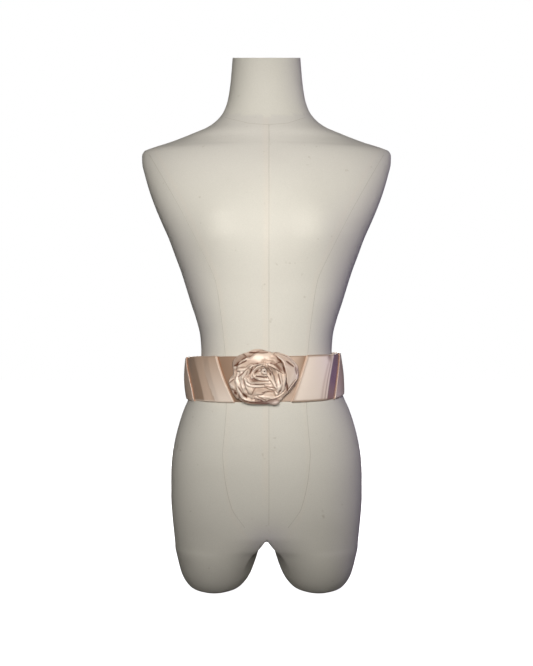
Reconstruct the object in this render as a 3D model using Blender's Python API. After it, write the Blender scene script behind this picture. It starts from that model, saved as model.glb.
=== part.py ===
"""Pleated satin belt with a rolled satin rose, worn on a limbless dress form.

Metres, +Z up. The front faces -Y. The tables count depths from the neck's axis, which stands
axis_y behind the origin, so that the origin is under the middle of the whole outline.
"""

import math
from collections import namedtuple

import bmesh
import bpy
import numpy as np

# Driving sizes
axis_y = 0.0043
cloth_wall = 0.0018
seam_gap = 0.0003
belt_bulge = 0.0027
belt_flare = 1.6
belt_roundness = 2.1
belt_rest = 0.0007
belt_top_half_width = 0.1245
belt_top_front = 0.101
belt_top_back = 0.100
belt_top_shift = -0.0055
fold_rise = 0.0021
fold_crease = 0.0006
front_underlap = 0.012
back_lap = 0.018
hook_thickness = 0.0008
hook_half_width = 0.005
hook_half_rise = 0.045
hook_rises = (0.2, 0.5, 0.8)
rose_heart_x = -0.0033
rose_heart_z = 0.3654

# Horizontal sections of the dress form: height, half width at the side, depth of the front
# and of the back from the neck's axis, and the exponent of the rounded outline.
FormSection = namedtuple("FormSection", "height half_width front back roundness")
form_sections = [
    FormSection(0.100, 0.1535, 0.091, 0.104, 2.25),
    FormSection(0.126, 0.1560, 0.095, 0.114, 2.25),
    FormSection(0.153, 0.1577, 0.099, 0.121, 2.20),
    FormSection(0.192, 0.1577, 0.103, 0.126, 2.20),
    FormSection(0.219, 0.1560, 0.105, 0.124, 2.20),
    FormSection(0.246, 0.1515, 0.105, 0.119, 2.20),
    FormSection(0.272, 0.1450, 0.103, 0.111, 2.20),
    FormSection(0.299, 0.1360, 0.100, 0.102, 2.20),
    FormSection(0.312, 0.1300, 0.098, 0.097, 2.20),
    FormSection(0.339, 0.1190, 0.094, 0.088, 2.20),
    FormSection(0.365, 0.1110, 0.091, 0.081, 2.20),
    FormSection(0.392, 0.1079, 0.089, 0.077, 2.20),
    FormSection(0.418, 0.1096, 0.090, 0.076, 2.20),
    FormSection(0.445, 0.1160, 0.093, 0.077, 2.20),
    FormSection(0.471, 0.1245, 0.097, 0.080, 2.25),
    FormSection(0.498, 0.1328, 0.102, 0.084, 2.30),
    FormSection(0.524, 0.1410, 0.108, 0.088, 2.35),
    FormSection(0.551, 0.1510, 0.113, 0.092, 2.40),
    FormSection(0.578, 0.1610, 0.116, 0.096, 2.45),
    FormSection(0.604, 0.1726, 0.115, 0.100, 2.45),
    FormSection(0.631, 0.1840, 0.111, 0.103, 2.40),
    FormSection(0.657, 0.1934, 0.104, 0.104, 2.35),
    FormSection(0.684, 0.2012, 0.095, 0.102, 2.30),
    FormSection(0.704, 0.2058, 0.087, 0.098, 2.20),
    FormSection(0.716, 0.2062, 0.082, 0.094, 2.05),
    FormSection(0.723, 0.2035, 0.079, 0.091, 1.90),
    FormSection(0.727, 0.1950, 0.077, 0.089, 1.80),
    FormSection(0.737, 0.1640, 0.073, 0.084, 1.75),
    FormSection(0.750, 0.1285, 0.069, 0.078, 1.85),
    FormSection(0.763, 0.0975, 0.064, 0.072, 1.95),
    FormSection(0.777, 0.0800, 0.060, 0.066, 2.00),
    FormSection(0.790, 0.0708, 0.058, 0.061, 2.00),
    FormSection(0.810, 0.0640, 0.056, 0.056, 2.00),
    FormSection(0.840, 0.0595, 0.054, 0.052, 2.00),
    FormSection(0.880, 0.0562, 0.052, 0.050, 2.00),
]
# The neck leans forward, so its level sections turn until they slope like the cut at its top.
neck_slope = 0.285
neck_base = 0.790
bust_side = 0.070
bust_height = 0.588
bust_spread = 0.050
bust_reach = 0.056
bust_depth = 0.020

# Rings of one thigh stub below the fork: height, centre and half width across, half depth, and
# how far the outline has gone from half of the body's section to an ellipse.
ThighRing = namedtuple("ThighRing", "height centre_x half_width half_depth roundness")
thigh_rings = [
    ThighRing(0.079, 0.0800, 0.0715, 0.0910, 0.25),
    ThighRing(0.068, 0.0815, 0.0695, 0.0870, 0.55),
    ThighRing(0.054, 0.0820, 0.0660, 0.0820, 0.80),
    ThighRing(0.040, 0.0828, 0.0620, 0.0765, 0.95),
    ThighRing(0.026, 0.0836, 0.0570, 0.0700, 1.00),
    ThighRing(0.014, 0.0843, 0.0500, 0.0620, 1.00),
    ThighRing(0.005, 0.0848, 0.0410, 0.0520, 1.00),
    ThighRing(0.000, 0.0850, 0.0290, 0.0390, 1.00),
]
thigh_centre_y = 0.0050
fork_height = 0.084
ring_points = 44
fork_points = 9
trunk_rings = 29
trunk_top = 0.700

# Heights of the belt's two hems round the form, at turns in degrees from +X, 90 at the front.
BeltHem = namedtuple("BeltHem", "turn bottom top")
belt_hems = [
    BeltHem(0, 0.3245, 0.3900),
    BeltHem(45, 0.3178, 0.3878),
    BeltHem(70, 0.3166, 0.3868),
    BeltHem(110, 0.3158, 0.3864),
    BeltHem(140, 0.3155, 0.3852),
    BeltHem(180, 0.3152, 0.3823),
    BeltHem(225, 0.3165, 0.3828),
    BeltHem(270, 0.3195, 0.3858),
    BeltHem(315, 0.3225, 0.3888),
]

# Fold edges of the belt, as arc lengths from the centre front at the top and bottom hems.
# Each fold runs out to the next one, and its cloth breaks at the crease share of the way. An
# edge bows towards the front by its bow at mid height.
Fold = namedtuple("Fold", "top bottom crease bow")
left_folds = [
    Fold(0.0757, 0.0480, 0.66, 0.0),
    Fold(0.160, 0.127, 0.62, 0.0080),
    Fold(0.246, 0.217, 0.52, 0.0040),
    Fold(0.322, 0.296, 0.60, 0.0),
]
right_folds = [
    Fold(0.0734, 0.0393, 0.76, 0.0),
    Fold(0.160, 0.119, 0.55, 0.0050),
    Fold(0.243, 0.212, 0.62, 0.0030),
    Fold(0.320, 0.292, 0.54, 0.0),
]

# The rose's outline about its heart: angle in degrees, counterclockwise from +X, and radius.
OutlinePoint = namedtuple("OutlinePoint", "angle radius")
rose_outline = [
    OutlinePoint(8, 0.0521),
    OutlinePoint(17, 0.0481),
    OutlinePoint(31, 0.0443),
    OutlinePoint(46, 0.0371),
    OutlinePoint(66, 0.0302),
    OutlinePoint(85, 0.0305),
    OutlinePoint(116, 0.0358),
    OutlinePoint(133, 0.0378),
    OutlinePoint(151, 0.0461),
    OutlinePoint(164, 0.0503),
    OutlinePoint(176, 0.0485),
    OutlinePoint(187, 0.0490),
    OutlinePoint(199, 0.0585),
    OutlinePoint(214, 0.0610),
    OutlinePoint(225, 0.0605),
    OutlinePoint(239, 0.0578),
    OutlinePoint(258, 0.0536),
    OutlinePoint(278, 0.0525),
    OutlinePoint(287, 0.0560),
    OutlinePoint(297, 0.0552),
    OutlinePoint(309, 0.0531),
    OutlinePoint(322, 0.0525),
    OutlinePoint(351, 0.0536),
]

# Petals of the rose, turn by turn from the heart out: places along the rim by angle in degrees,
# and how far out the rim is there, as shares of the outline. A petal is tucked under those listed
# before it, and its root lies under the turn inside it.
Petal = namedtuple("Petal", "name angles rim")
petal_turns = [
    [
        Petal(
            "rose_heart_right",
            (-56, -46, -37, -18, 0, 31, 74),
            (0.62, 0.53, 0.38, 0.23, 0.19, 0.20, 0.25),
        ),
        Petal("rose_heart_cup", (196, 233, 287, 325), (0.25, 0.18, 0.17, 0.22)),
        Petal("rose_heart_low", (196, 237, 273, 318), (0.32, 0.28, 0.28, 0.32)),
        Petal("rose_heart_left", (60, 119, 159, 186, 212), (0.27, 0.27, 0.28, 0.37, 0.38)),
    ],
    [
        Petal(
            "rose_inner_right",
            (-58, -48, -34, -20, 0, 27, 72),
            (0.74, 0.70, 0.62, 0.51, 0.42, 0.37, 0.40),
        ),
        Petal("rose_inner_top", (56, 94, 132, 170), (0.42, 0.37, 0.36, 0.48)),
        Petal("rose_inner_low", (204, 215, 229, 252, 278, 314), (0.49, 0.48, 0.44, 0.39, 0.37, 0.42)),
        Petal(
            "rose_inner_under",
            (200, 217, 228, 250, 268, 287, 306),
            (0.56, 0.56, 0.53, 0.48, 0.46, 0.52, 0.66),
        ),
        Petal("rose_inner_left", (152, 174, 190, 207, 227, 240), (0.46, 0.57, 0.66, 0.59, 0.66, 0.72)),
    ],
    [
        Petal("rose_middle_right", (-64, -47, -33, -13, 5, 26), (0.76, 0.80, 0.72, 0.64, 0.60, 0.60)),
        Petal("rose_middle_top", (12, 38, 73, 108, 142, 180), (0.80, 0.90, 0.96, 0.84, 0.76, 0.86)),
        Petal("rose_middle_low", (232, 241, 260, 284, 304, 314), (0.75, 0.74, 0.68, 0.58, 0.67, 0.72)),
        Petal("rose_middle_left", (164, 189, 204, 218, 231, 248), (0.80, 0.75, 0.67, 0.70, 0.78, 0.82)),
    ],
    [
        Petal(
            "rose_outer_low",
            (238, 246, 261, 272, 286, 300, 312),
            (0.80, 0.80, 0.83, 0.88, 0.81, 0.84, 0.88),
        ),
        Petal("rose_outer_left", (184, 195, 206, 221, 234, 252), (0.87, 0.82, 0.81, 0.87, 0.93, 0.92)),
    ],
    [
        Petal("rose_edge_right", (-14, 12, 36, 62), (1.00, 0.98, 0.97, 1.00)),
        Petal("rose_edge_top", (50, 80, 110, 140), (1.00, 0.98, 1.00, 1.00)),
        Petal("rose_edge_corner", (126, 148, 170, 192), (0.97, 1.00, 1.00, 0.95)),
        Petal("rose_edge_leaf", (180, 195, 211, 226), (0.94, 1.00, 0.97, 1.00)),
        Petal("rose_edge_low", (214, 241, 267, 294), (0.96, 1.00, 0.98, 1.00)),
        Petal("rose_edge_tip", (282, 306, 330, 354), (1.00, 0.94, 0.98, 1.00)),
    ],
]
# How far a petal's root and rim stand under and over the rose's dome, turn by turn.
petal_tilts = (0.0044, 0.0044, 0.0040, 0.0030, 0.0012)
petal_tuck = 0.62

# The turned-back petal on the right: it lies on the middle turn, with its free edge to the heart.
turned_petal = Petal("rose_outer_right", (-44, -30, -9, 10, 35, 57), (0.95, 0.96, 0.98, 0.92, 0.90, 0.94))
turned_edge = (0.90, 0.76, 0.65, 0.62, 0.72, 0.87)
turned_lift = 0.0052
turned_over = 2

rose_crown = 0.0250
rose_edge = 0.0078
rose_dome = 1.5
petal_wall = 0.0014
petal_lap = 0.0024
petal_margin = 0.0034
petal_slope = 0.6
root_reach = 0.78
root_edge = 0.0012
bud_wall = 0.0010
bud_turns = 1.8
bud_start = 0.6
bud_radius = (0.0010, 0.0040)
bud_foot = 0.0035
bud_top = 0.0055
bud_clearing = 0.0049

satin = ("satin", (0.74, 0.57, 0.47, 1.0), 0.32, 0.0)
satin_rose = ("satin_rose", (0.78, 0.60, 0.51, 1.0), 0.30, 0.0)
form_cover = ("form_cover", (0.74, 0.72, 0.65, 1.0), 0.85, 0.0)
steel = ("hook_steel", (0.62, 0.62, 0.63, 1.0), 0.30, 1.0)


def smooth_through(known_at, known, at):
    """Monotone cubic through the known values, read at the given places."""
    known_at = np.asarray(known_at, float)
    known = np.asarray(known, float)
    step = np.diff(known_at)
    slope = np.diff(known) / step
    tangent = np.zeros_like(known)
    tangent[0], tangent[-1] = slope[0], slope[-1]
    same_way = slope[:-1] * slope[1:] > 0
    total = np.where(same_way, slope[:-1] + slope[1:], 1.0)
    tangent[1:-1] = np.where(same_way, 2 * slope[:-1] * slope[1:] / total, 0.0)
    at = np.clip(np.asarray(at, float), known_at[0], known_at[-1])
    cell = np.clip(np.searchsorted(known_at, at, side="right") - 1, 0, len(step) - 1)
    width = step[cell]
    share = (at - known_at[cell]) / width
    rise = known[cell + 1] - known[cell]
    blend = share * share * (3 - 2 * share)
    pull_first = share * (1 - share) ** 2 * width * tangent[cell]
    pull_last = share * share * (share - 1) * width * tangent[cell + 1]
    return known[cell] + rise * blend + pull_first + pull_last


def form_surface(turn, height):
    """A point of the dress form at a turn about its axis (0 at +X, a quarter at the front)."""
    heights = [s.height for s in form_sections]
    half_width, front, back, roundness = (
        smooth_through(heights, [getattr(s, column) for s in form_sections], height)
        for column in ("half_width", "front", "back", "roundness")
    )
    across, along = np.cos(turn), np.sin(turn)
    power = 2 / roundness
    x = half_width * np.sign(across) * np.abs(across) ** power
    depth = np.where(along > 0, front, back)
    y = -depth * np.sign(along) * np.abs(along) ** power
    side = (np.abs(x) - bust_side) / bust_spread
    level = (height - bust_height) / bust_reach
    facing_front = np.clip(along * 2.5, 0, 1)
    y = y - bust_depth * facing_front * np.exp(-side * side - level * level)
    return x, y


def neck_lift(y, height):
    """How far the lean of the neck lifts a point of the section at this height."""
    share = np.clip((height - neck_base) / (form_sections[-1].height - neck_base), 0, 1)
    return neck_slope * y * share * share * (3 - 2 * share)


def add_object(name, points, faces, finish):
    """One closed mesh as a named object with its own material, shaded smooth but for sharp edges."""
    mesh = bpy.data.meshes.new(name)
    placed = np.asarray(points, float) + (0.0, axis_y, 0.0)
    mesh.from_pydata(placed.tolist(), [], faces)
    shell = bmesh.new()
    shell.from_mesh(mesh)
    bmesh.ops.recalc_face_normals(shell, faces=shell.faces)
    shell.to_mesh(mesh)
    shell.free()
    mesh.shade_smooth()
    mesh.set_sharp_from_angle(angle=math.radians(40))
    slot, colour, roughness, metallic = finish
    material = bpy.data.materials.get(slot) or bpy.data.materials.new(slot)
    material.use_nodes = True
    shader = material.node_tree.nodes["Principled BSDF"]
    shader.inputs["Base Color"].default_value = colour
    shader.inputs["Roughness"].default_value = roughness
    shader.inputs["Metallic"].default_value = metallic
    mesh.materials.append(material)
    part = bpy.data.objects.new(name, mesh)
    bpy.context.scene.collection.objects.link(part)
    return part


def wall_faces(rows, columns):
    """Faces of a wall: an outer grid, an inner grid behind it, and the rim that joins them.

    Row by row, the outer grid's points come first. Columns run counterclockwise seen from outside.
    """
    behind = rows * columns
    faces = []
    for r in range(rows - 1):
        for c in range(columns - 1):
            a = r * columns + c
            b, d = a + 1, a + columns
            faces.append((a, b, d + 1, d))
            faces.append((behind + a, behind + d, behind + d + 1, behind + b))
    first_row = [c for c in range(columns)]
    last_column = [r * columns + columns - 1 for r in range(1, rows)]
    last_row = [(rows - 1) * columns + c for c in range(columns - 2, -1, -1)]
    first_column = [r * columns for r in range(rows - 2, 0, -1)]
    rim = first_row + last_column + last_row + first_column
    for here, after in zip(rim, rim[1:] + rim[:1]):
        faces.append((here, behind + here, behind + after, after))
    return faces


def build_form():
    """The dress form: rings from the fork to the neck's flat top, and two thigh stubs below."""
    turns = 2 * math.pi * np.arange(ring_points) / ring_points
    points, faces = [], []
    ring_starts = []
    heights = list(np.linspace(form_sections[0].height, trunk_top, trunk_rings))
    heights += [s.height for s in form_sections if s.height > trunk_top]
    for height in heights:
        x, y = form_surface(turns, np.full(ring_points, height))
        ring_starts.append(len(points))
        points += list(zip(x, y, height + neck_lift(y, height)))
    for low, high in zip(ring_starts, ring_starts[1:]):
        for i in range(ring_points):
            after = (i + 1) % ring_points
            faces.append((low + after, low + i, high + i, high + after))
    top = ring_starts[-1]
    faces.append(tuple(top + i for i in reversed(range(ring_points))))

    front, back = ring_points // 4, 3 * ring_points // 4
    fork_start = len(points)
    front_y, back_y = points[front][1], points[back][1]
    ring_height = form_sections[0].height
    for k in range(1, fork_points + 1):
        share = k / (fork_points + 1)
        drop = (ring_height - fork_height) * math.sin(math.pi * share) ** 0.6
        points.append((0.0, front_y + (back_y - front_y) * share, ring_height - drop))
    fork_line = [fork_start + k for k in range(fork_points)]
    right_outside = [i % ring_points for i in range(back, back + ring_points // 2 + 1)]
    left_outside = list(range(front, back + 1))
    body = form_sections[0]
    for side, loop in ((1, right_outside + fork_line), (-1, left_outside + fork_line[::-1])):
        above = loop
        for ring in thigh_rings:
            start = len(points)
            for index in loop:
                across = side * points[index][0] / (body.half_width / 2) - 1
                depth = (points[index][1] - thigh_centre_y) / ((body.front + body.back) / 2)
                length = math.hypot(across, depth)
                across += (across / length - across) * ring.roundness
                depth += (depth / length - depth) * ring.roundness
                x = side * (ring.centre_x + ring.half_width * across)
                y = thigh_centre_y + ring.half_depth * depth
                points.append((x, y, ring.height))
            below = list(range(start, start + len(loop)))
            for k in range(len(loop)):
                after = (k + 1) % len(loop)
                faces.append((below[after], above[after], above[k], below[k]))
            above = below
        faces.append(tuple(above))
    return add_object("dress_form", points, faces, form_cover)


def hem_height(turn, hem):
    """The height of one of the belt's hems at a turn, eased from each listed turn to the next."""
    turns = np.array([h.turn for h in belt_hems] + [360])
    levels = np.array([getattr(h, hem) for h in belt_hems] + [getattr(belt_hems[0], hem)])
    degrees = np.degrees(turn) % 360
    cell = np.clip(np.searchsorted(turns, degrees, side="right") - 1, 0, len(belt_hems) - 1)
    share = (degrees - turns[cell]) / (turns[cell + 1] - turns[cell])
    return levels[cell] + (levels[cell + 1] - levels[cell]) * share * share * (3 - 2 * share)


def belt_base(turn, rise):
    """The belt's inner face at a turn and a share of its height, from hip edge to upper edge."""
    bottom, top = hem_height(turn, "bottom"), hem_height(turn, "top")
    lower_x, lower_y = form_surface(turn, bottom)
    stand_off = 1 + belt_rest / np.hypot(lower_x, lower_y)
    lower_x, lower_y = lower_x * stand_off, lower_y * stand_off
    across, along = np.cos(turn), np.sin(turn)
    power = 2 / belt_roundness
    upper_x = belt_top_half_width * np.sign(across) * np.abs(across) ** power + belt_top_shift
    depth = np.where(along > 0, belt_top_front, belt_top_back)
    upper_y = -depth * np.sign(along) * np.abs(along) ** power
    ease = 1 - (1 - rise) ** belt_flare
    bulge = 1 + belt_bulge * 4 * rise * (1 - rise) / belt_top_half_width
    x = (lower_x + (upper_x - lower_x) * ease) * bulge
    y = (lower_y + (upper_y - lower_y) * ease) * bulge
    return np.stack([x, y, bottom + (top - bottom) * rise], axis=-1)


class BeltLine:
    """Arc length along the belt, from the centre front towards +X, and the points it stands for."""

    def __init__(self):
        self.turns = math.pi / 2 - np.linspace(-math.pi, math.pi, 1441)
        middle = belt_base(self.turns, np.full_like(self.turns, 0.5))
        steps = np.hypot(np.diff(middle[:, 0]), np.diff(middle[:, 1]))
        arc = np.concatenate([[0.0], np.cumsum(steps)])
        self.arc = arc - np.interp(0.0, -np.abs(self.turns - math.pi / 2)[:721], arc[:721])
        self.half = arc[-1] / 2
        self.arc = arc - self.half

    def points(self, arc, rise, out):
        """Points at an arc length and a share of the height, moved outwards from the inner face."""
        wrapped = (arc + self.half) % (2 * self.half) - self.half
        turn = np.interp(wrapped, self.arc, self.turns)
        here = belt_base(turn, rise)
        nearby = 0.002
        ahead = belt_base(turn - nearby, rise)
        behind = belt_base(turn + nearby, rise)
        along = ahead[..., :2] - behind[..., :2]
        along = along / np.linalg.norm(along, axis=-1, keepdims=True)
        here[..., 0] += along[..., 1] * out
        here[..., 1] -= along[..., 0] * out
        return here


def fold_height(share, crease):
    """How far a folded panel stands proud, from its fold edge to the next fold's."""
    known_at = [0.0, 0.03, 0.16, crease - 0.02, crease + 0.02, 0.97, 1.0]
    broken = 0.62 * fold_rise
    known = [fold_rise, fold_rise * 1.08, fold_rise * 0.9, broken, broken - fold_crease, 0.0, 0.0]
    return np.interp(share, known_at, known)


def wing_columns(folds, end, per_fold):
    """Shares along a wing: for each fold, the columns between its edge and the next one's."""
    edges = folds + [Fold(end, end, 0.6, 0.0)]
    columns = []
    lap_share = 0.17
    for fold, following in zip(edges, edges[1:]):
        shares = [0.0, 0.012, lap_share, lap_share + 0.12]
        middle = np.linspace(lap_share + 0.12, fold.crease - 0.02, per_fold)[1:]
        shares += list(middle) + [fold.crease + 0.02]
        shares += list(np.linspace(fold.crease + 0.02, 0.985, per_fold)[1:])
        for share in shares:
            top = fold.top + (following.top - fold.top) * share
            bottom = fold.bottom + (following.bottom - fold.bottom) * share
            bow = fold.bow + (following.bow - fold.bow) * share
            columns.append((top, bottom, fold_height(share, fold.crease), bow))
    return columns


def build_belt_front(line, rows):
    """The smooth panel behind the rose, tucked under the first fold on each side."""
    columns = 17
    left, right = left_folds[0], right_folds[0]
    share = np.linspace(0, 1, columns)
    top_arc = -(left.top + front_underlap) + share * (left.top + right.top + 2 * front_underlap)
    bottom_arc = -(left.bottom + front_underlap)
    bottom_arc = bottom_arc + share * (left.bottom + right.bottom + 2 * front_underlap)
    rise = np.linspace(0, 1, rows)[:, None] * np.ones(columns)
    arc = bottom_arc + (top_arc - bottom_arc) * rise
    outer = line.points(arc, rise, np.full_like(arc, cloth_wall)).reshape(-1, 3)
    inner = line.points(arc, rise, np.zeros_like(arc)).reshape(-1, 3)
    points = np.concatenate([outer, inner])
    add_object("belt_front", points, wall_faces(rows, columns), satin)


def build_belt_wing(name, line, side, folds, rows, over_lap):
    """A folded wing, from its first fold over the front panel to its end past the centre back."""
    end = line.half + back_lap
    table = wing_columns(folds, line.half - 0.020, 4)
    lap_raise = cloth_wall + 2 * seam_gap + hook_thickness if over_lap else 0.0
    table += [
        (line.half - 0.019, line.half - 0.019, fold_rise * 0.4, 0.0),
        (line.half + 0.003, line.half + 0.003, fold_rise * 0.2, 0.0),
        (end, end, 0.0, 0.0),
    ]
    tops, bottoms, heights, bows = (np.array(column) for column in zip(*table))
    rise = np.linspace(0, 1, rows)[:, None] * np.ones(len(table))
    arc = bottoms + (tops - bottoms) * rise - bows * 4 * rise * (1 - rise)
    over_front = np.arange(len(table)) < 3
    raised = (cloth_wall + seam_gap) * over_front * np.ones_like(rise)
    before_lap = (arc - (line.half - back_lap - 0.014)) / 0.012
    raised = raised + lap_raise * np.clip(before_lap, 0, 1)
    if over_lap:
        heights = np.where(bottoms > line.half - 0.021, heights * 0.5, heights)
    proud = np.maximum(heights * np.ones_like(rise) - raised * 0.9, 0.0)
    is_lap = arc > line.half - back_lap - 0.014
    proud = np.where(is_lap, np.minimum(proud, fold_rise * 0.2), proud)
    if not over_lap:
        proud = np.where(arc > line.half - back_lap - 0.002, 0.0, proud)
    outer = line.points(side * arc, rise, raised + cloth_wall + proud).reshape(-1, 3)
    inner = line.points(side * arc, rise, raised).reshape(-1, 3)
    points = np.concatenate([outer, inner])
    add_object(name, points, wall_faces(rows, len(table)), satin)


def build_hooks(line):
    """Flat hooks in the lap at the centre back, one above the other."""
    for index, rise in enumerate(hook_rises):
        arc = np.array([[-hook_half_width, hook_half_width]] * 2) + line.half
        level = np.array([[rise - hook_half_rise] * 2, [rise + hook_half_rise] * 2])
        inner = np.full_like(arc, cloth_wall + seam_gap)
        outer = line.points(arc, level, inner + hook_thickness - 0.0001).reshape(-1, 3)
        inner = line.points(arc, level, inner).reshape(-1, 3)
        points = np.concatenate([outer, inner])
        name = "back_hook_%d" % (index + 1)
        add_object(name, points, wall_faces(2, 2), steel)


def belt_front_depth(line, x, z):
    """How far in front of the form's axis the belt's outer face is, under a point of the rose."""
    arcs = np.linspace(-0.09, 0.09, 61)
    middle = line.points(arcs, np.full_like(arcs, 0.5), np.full_like(arcs, cloth_wall))
    return -np.interp(x, middle[:, 0], middle[:, 1])


def rose_ground(reach):
    """The rose's dome over the belt's face, from its crown at the heart to its edge."""
    return rose_edge + (rose_crown - rose_edge) * (1 - reach**rose_dome)


def rose_place(line, across, up, height):
    """Points of the rose from its own axes: across, up, and out from the belt's face."""
    x = rose_heart_x + across
    z = rose_heart_z + up
    depth = belt_front_depth(line, x, z)
    return np.stack([x, -(depth + height), z], axis=-1)


def rose_radius(angle):
    """The outline's radius at an angle in degrees."""
    return np.interp(
        angle, [o.angle for o in rose_outline], [o.radius for o in rose_outline], period=360
    )


def rose_plan(angle, reach):
    """Across and up from the heart, at an angle in degrees and a share of the outline."""
    radius = reach * rose_radius(angle)
    turn = np.radians(angle)
    return radius * np.cos(turn), radius * np.sin(turn)


def along_petal(petal, values, share):
    """Values listed at a petal's angles, read at a share of the way from its first to its last."""
    angles = np.array(petal.angles, float)
    return smooth_through((angles - angles[0]) / (angles[-1] - angles[0]), values, share)


def petal_root(petal, turn):
    """Where a petal is rooted, at its listed angles: under the rims of the turns inside it."""
    angle = np.array(petal.angles, float)
    root = bud_clearing / rose_radius(angle)
    for inner in petal_turns[:turn]:
        rim = np.full_like(angle, np.inf)
        for other in inner:
            share = (angle - other.angles[0]) % 360 / (other.angles[-1] - other.angles[0])
            here = along_petal(other, other.rim, share)
            rim = np.where(share <= 1, np.minimum(rim, here), rim)
        root = np.where(np.isfinite(rim), root + petal_tuck * (rim - root), root)
    return root


class PetalSheet:
    """A petal's middle surface, by share along it and by depth from its inner edge to its rim."""

    def __init__(self, petal, edge, lift, above):
        span = petal.angles[-1] - petal.angles[0]
        around = 7 + 2 * round(span / 26)
        grid = np.meshgrid(np.linspace(0, 1, around), np.linspace(0, 1, 5), indexing="ij")
        self.petal, self.edge = petal, edge
        self.share, self.depth = grid
        self.angle = petal.angles[0] + span * self.share
        start = along_petal(petal, edge, self.share)
        self.reach = start + (along_petal(petal, petal.rim, self.share) - start) * self.depth
        self.height = rose_ground(self.reach) + lift(self.depth)
        for sheet in above:
            self.height = np.minimum(self.height, sheet.ceiling(self.angle, self.reach, petal_lap))

    def ceiling(self, angle, reach, clearance):
        """How high there is room under the sheet at points of the plan, and more away from it."""
        span = self.petal.angles[-1] - self.petal.angles[0]
        after = (angle - self.petal.angles[0]) % 360
        before = after > 180 + span / 2
        share = np.where(before, 0.0, np.minimum(after / span, 1.0))
        past = np.where(before, 360 - after, np.maximum(after - span, 0))
        edge = along_petal(self.petal, self.edge, share)
        rim = along_petal(self.petal, self.petal.rim, share)
        inside = np.clip(reach, edge, rim)
        radius = rose_radius(angle)
        away = np.hypot(np.radians(past) * reach * radius, (reach - inside) * radius)
        here = self.sample(share, (inside - edge) / (rim - edge))
        return here - clearance + petal_slope * np.maximum(away - petal_margin, 0)

    def sample(self, share, depth):
        """The sheet's height between its grid's points."""
        rows, columns = self.height.shape
        row = np.clip(np.floor(share * (rows - 1)).astype(int), 0, rows - 2)
        column = np.clip(np.floor(depth * (columns - 1)).astype(int), 0, columns - 2)
        r, c = share * (rows - 1) - row, depth * (columns - 1) - column
        low = self.height[row, column] * (1 - c) + self.height[row, column + 1] * c
        high = self.height[row + 1, column] * (1 - c) + self.height[row + 1, column + 1] * c
        return low * (1 - r) + high * r


def petal_sheets():
    """The petals' sheets in order, from the heart's first petal to the lowest one."""
    sheets = []
    for turn, petals in enumerate(petal_turns):
        if turn == turned_over:
            sheets.append(PetalSheet(turned_petal, turned_edge, lambda depth: turned_lift, sheets))
        for petal in petals:
            tilt = petal_tilts[turn]
            rise = lambda depth: tilt * (2 * depth - 1)
            sheets.append(PetalSheet(petal, petal_root(petal, turn), rise, sheets))
    return sheets


def build_petal(line, sheet):
    """One stretch of the rolled strip as a wall, half its thickness to each side of its sheet."""
    across, up = rose_plan(sheet.angle, sheet.reach)
    outer = rose_place(line, across, up, sheet.height + petal_wall / 2).reshape(-1, 3)
    inner = rose_place(line, across, up, sheet.height - petal_wall / 2).reshape(-1, 3)
    points = np.concatenate([outer, inner])
    add_object(sheet.petal.name, points, wall_faces(*sheet.angle.shape), satin_rose)


def build_rose_root(line, sheets):
    """The strip's stitched roots under the petals: one low dome that lies on the belt's face."""
    around, rings = 44, 9
    angles = 360 * np.arange(around) / around
    points, faces = [], []

    def room(reach):
        spare = petal_wall / 2 + 5 * seam_gap
        reach = np.full_like(angles, reach)
        ceilings = [sheet.ceiling(angles, reach, spare) for sheet in sheets]
        bud = np.full_like(angles, rose_crown - bud_foot - seam_gap)
        return np.min(ceilings + [bud], axis=0)

    for top in (True, False):
        for r in range(rings, 0, -1):
            reach = root_reach * r / rings
            across, up = rose_plan(angles, reach)
            height = np.maximum(room(reach), root_edge) if top else np.full(around, seam_gap)
            points += list(rose_place(line, across, up, height))
        height = np.full(1, room(0.0).min() if top else seam_gap)
        points += list(rose_place(line, np.zeros(1), np.zeros(1), height))
    layer_size = rings * around + 1
    for layer in range(2):
        start = layer * layer_size
        for r in range(rings - 1):
            for i in range(around):
                after = (i + 1) % around
                a, b = start + r * around + i, start + r * around + after
                quad = (a, b, b + around, a + around)
                faces.append(quad[::-1] if layer else quad)
        centre = start + layer_size - 1
        inner_ring = start + (rings - 1) * around
        for i in range(around):
            triangle = (inner_ring + i, inner_ring + (i + 1) % around, centre)
            faces.append(triangle[::-1] if layer else triangle)
    for i in range(around):
        after = (i + 1) % around
        faces.append((after, i, layer_size + i, layer_size + after))
    add_object("rose_root", points, faces, satin_rose)


def build_rose_bud(line):
    """The rolled bud at the heart: a wall wound into a spiral, wider at its rim."""
    columns, rows = 22, 3
    share = np.linspace(0, 1, columns) * np.ones((rows, 1))
    level = np.linspace(0, 1, rows)[:, None] * np.ones(columns)
    angle = 2 * math.pi * bud_turns * share + bud_start
    centre_radius = bud_radius[0] + (bud_radius[1] - bud_radius[0]) * share
    height = rose_crown - bud_foot + (bud_foot + bud_top) * level

    def spiral(offset):
        radius = centre_radius + offset
        across = radius * np.cos(angle)
        up = radius * np.sin(angle)
        return rose_place(line, across, up, height).reshape(-1, 3)

    points = np.concatenate([spiral(bud_wall / 2), spiral(-bud_wall / 2)])
    add_object("rose_bud", points, wall_faces(rows, columns), satin_rose)


def build_all():
    for old in list(bpy.data.objects):
        bpy.data.objects.remove(old, do_unlink=True)
    build_form()
    line = BeltLine()
    build_belt_front(line, 9)
    build_belt_wing("belt_right", line, 1, right_folds, 9, False)
    build_belt_wing("belt_left", line, -1, left_folds, 9, True)
    build_hooks(line)
    sheets = petal_sheets()
    build_rose_root(line, sheets)
    build_rose_bud(line)
    for sheet in sheets:
        build_petal(line, sheet)


build_all()
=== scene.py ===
import math

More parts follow.
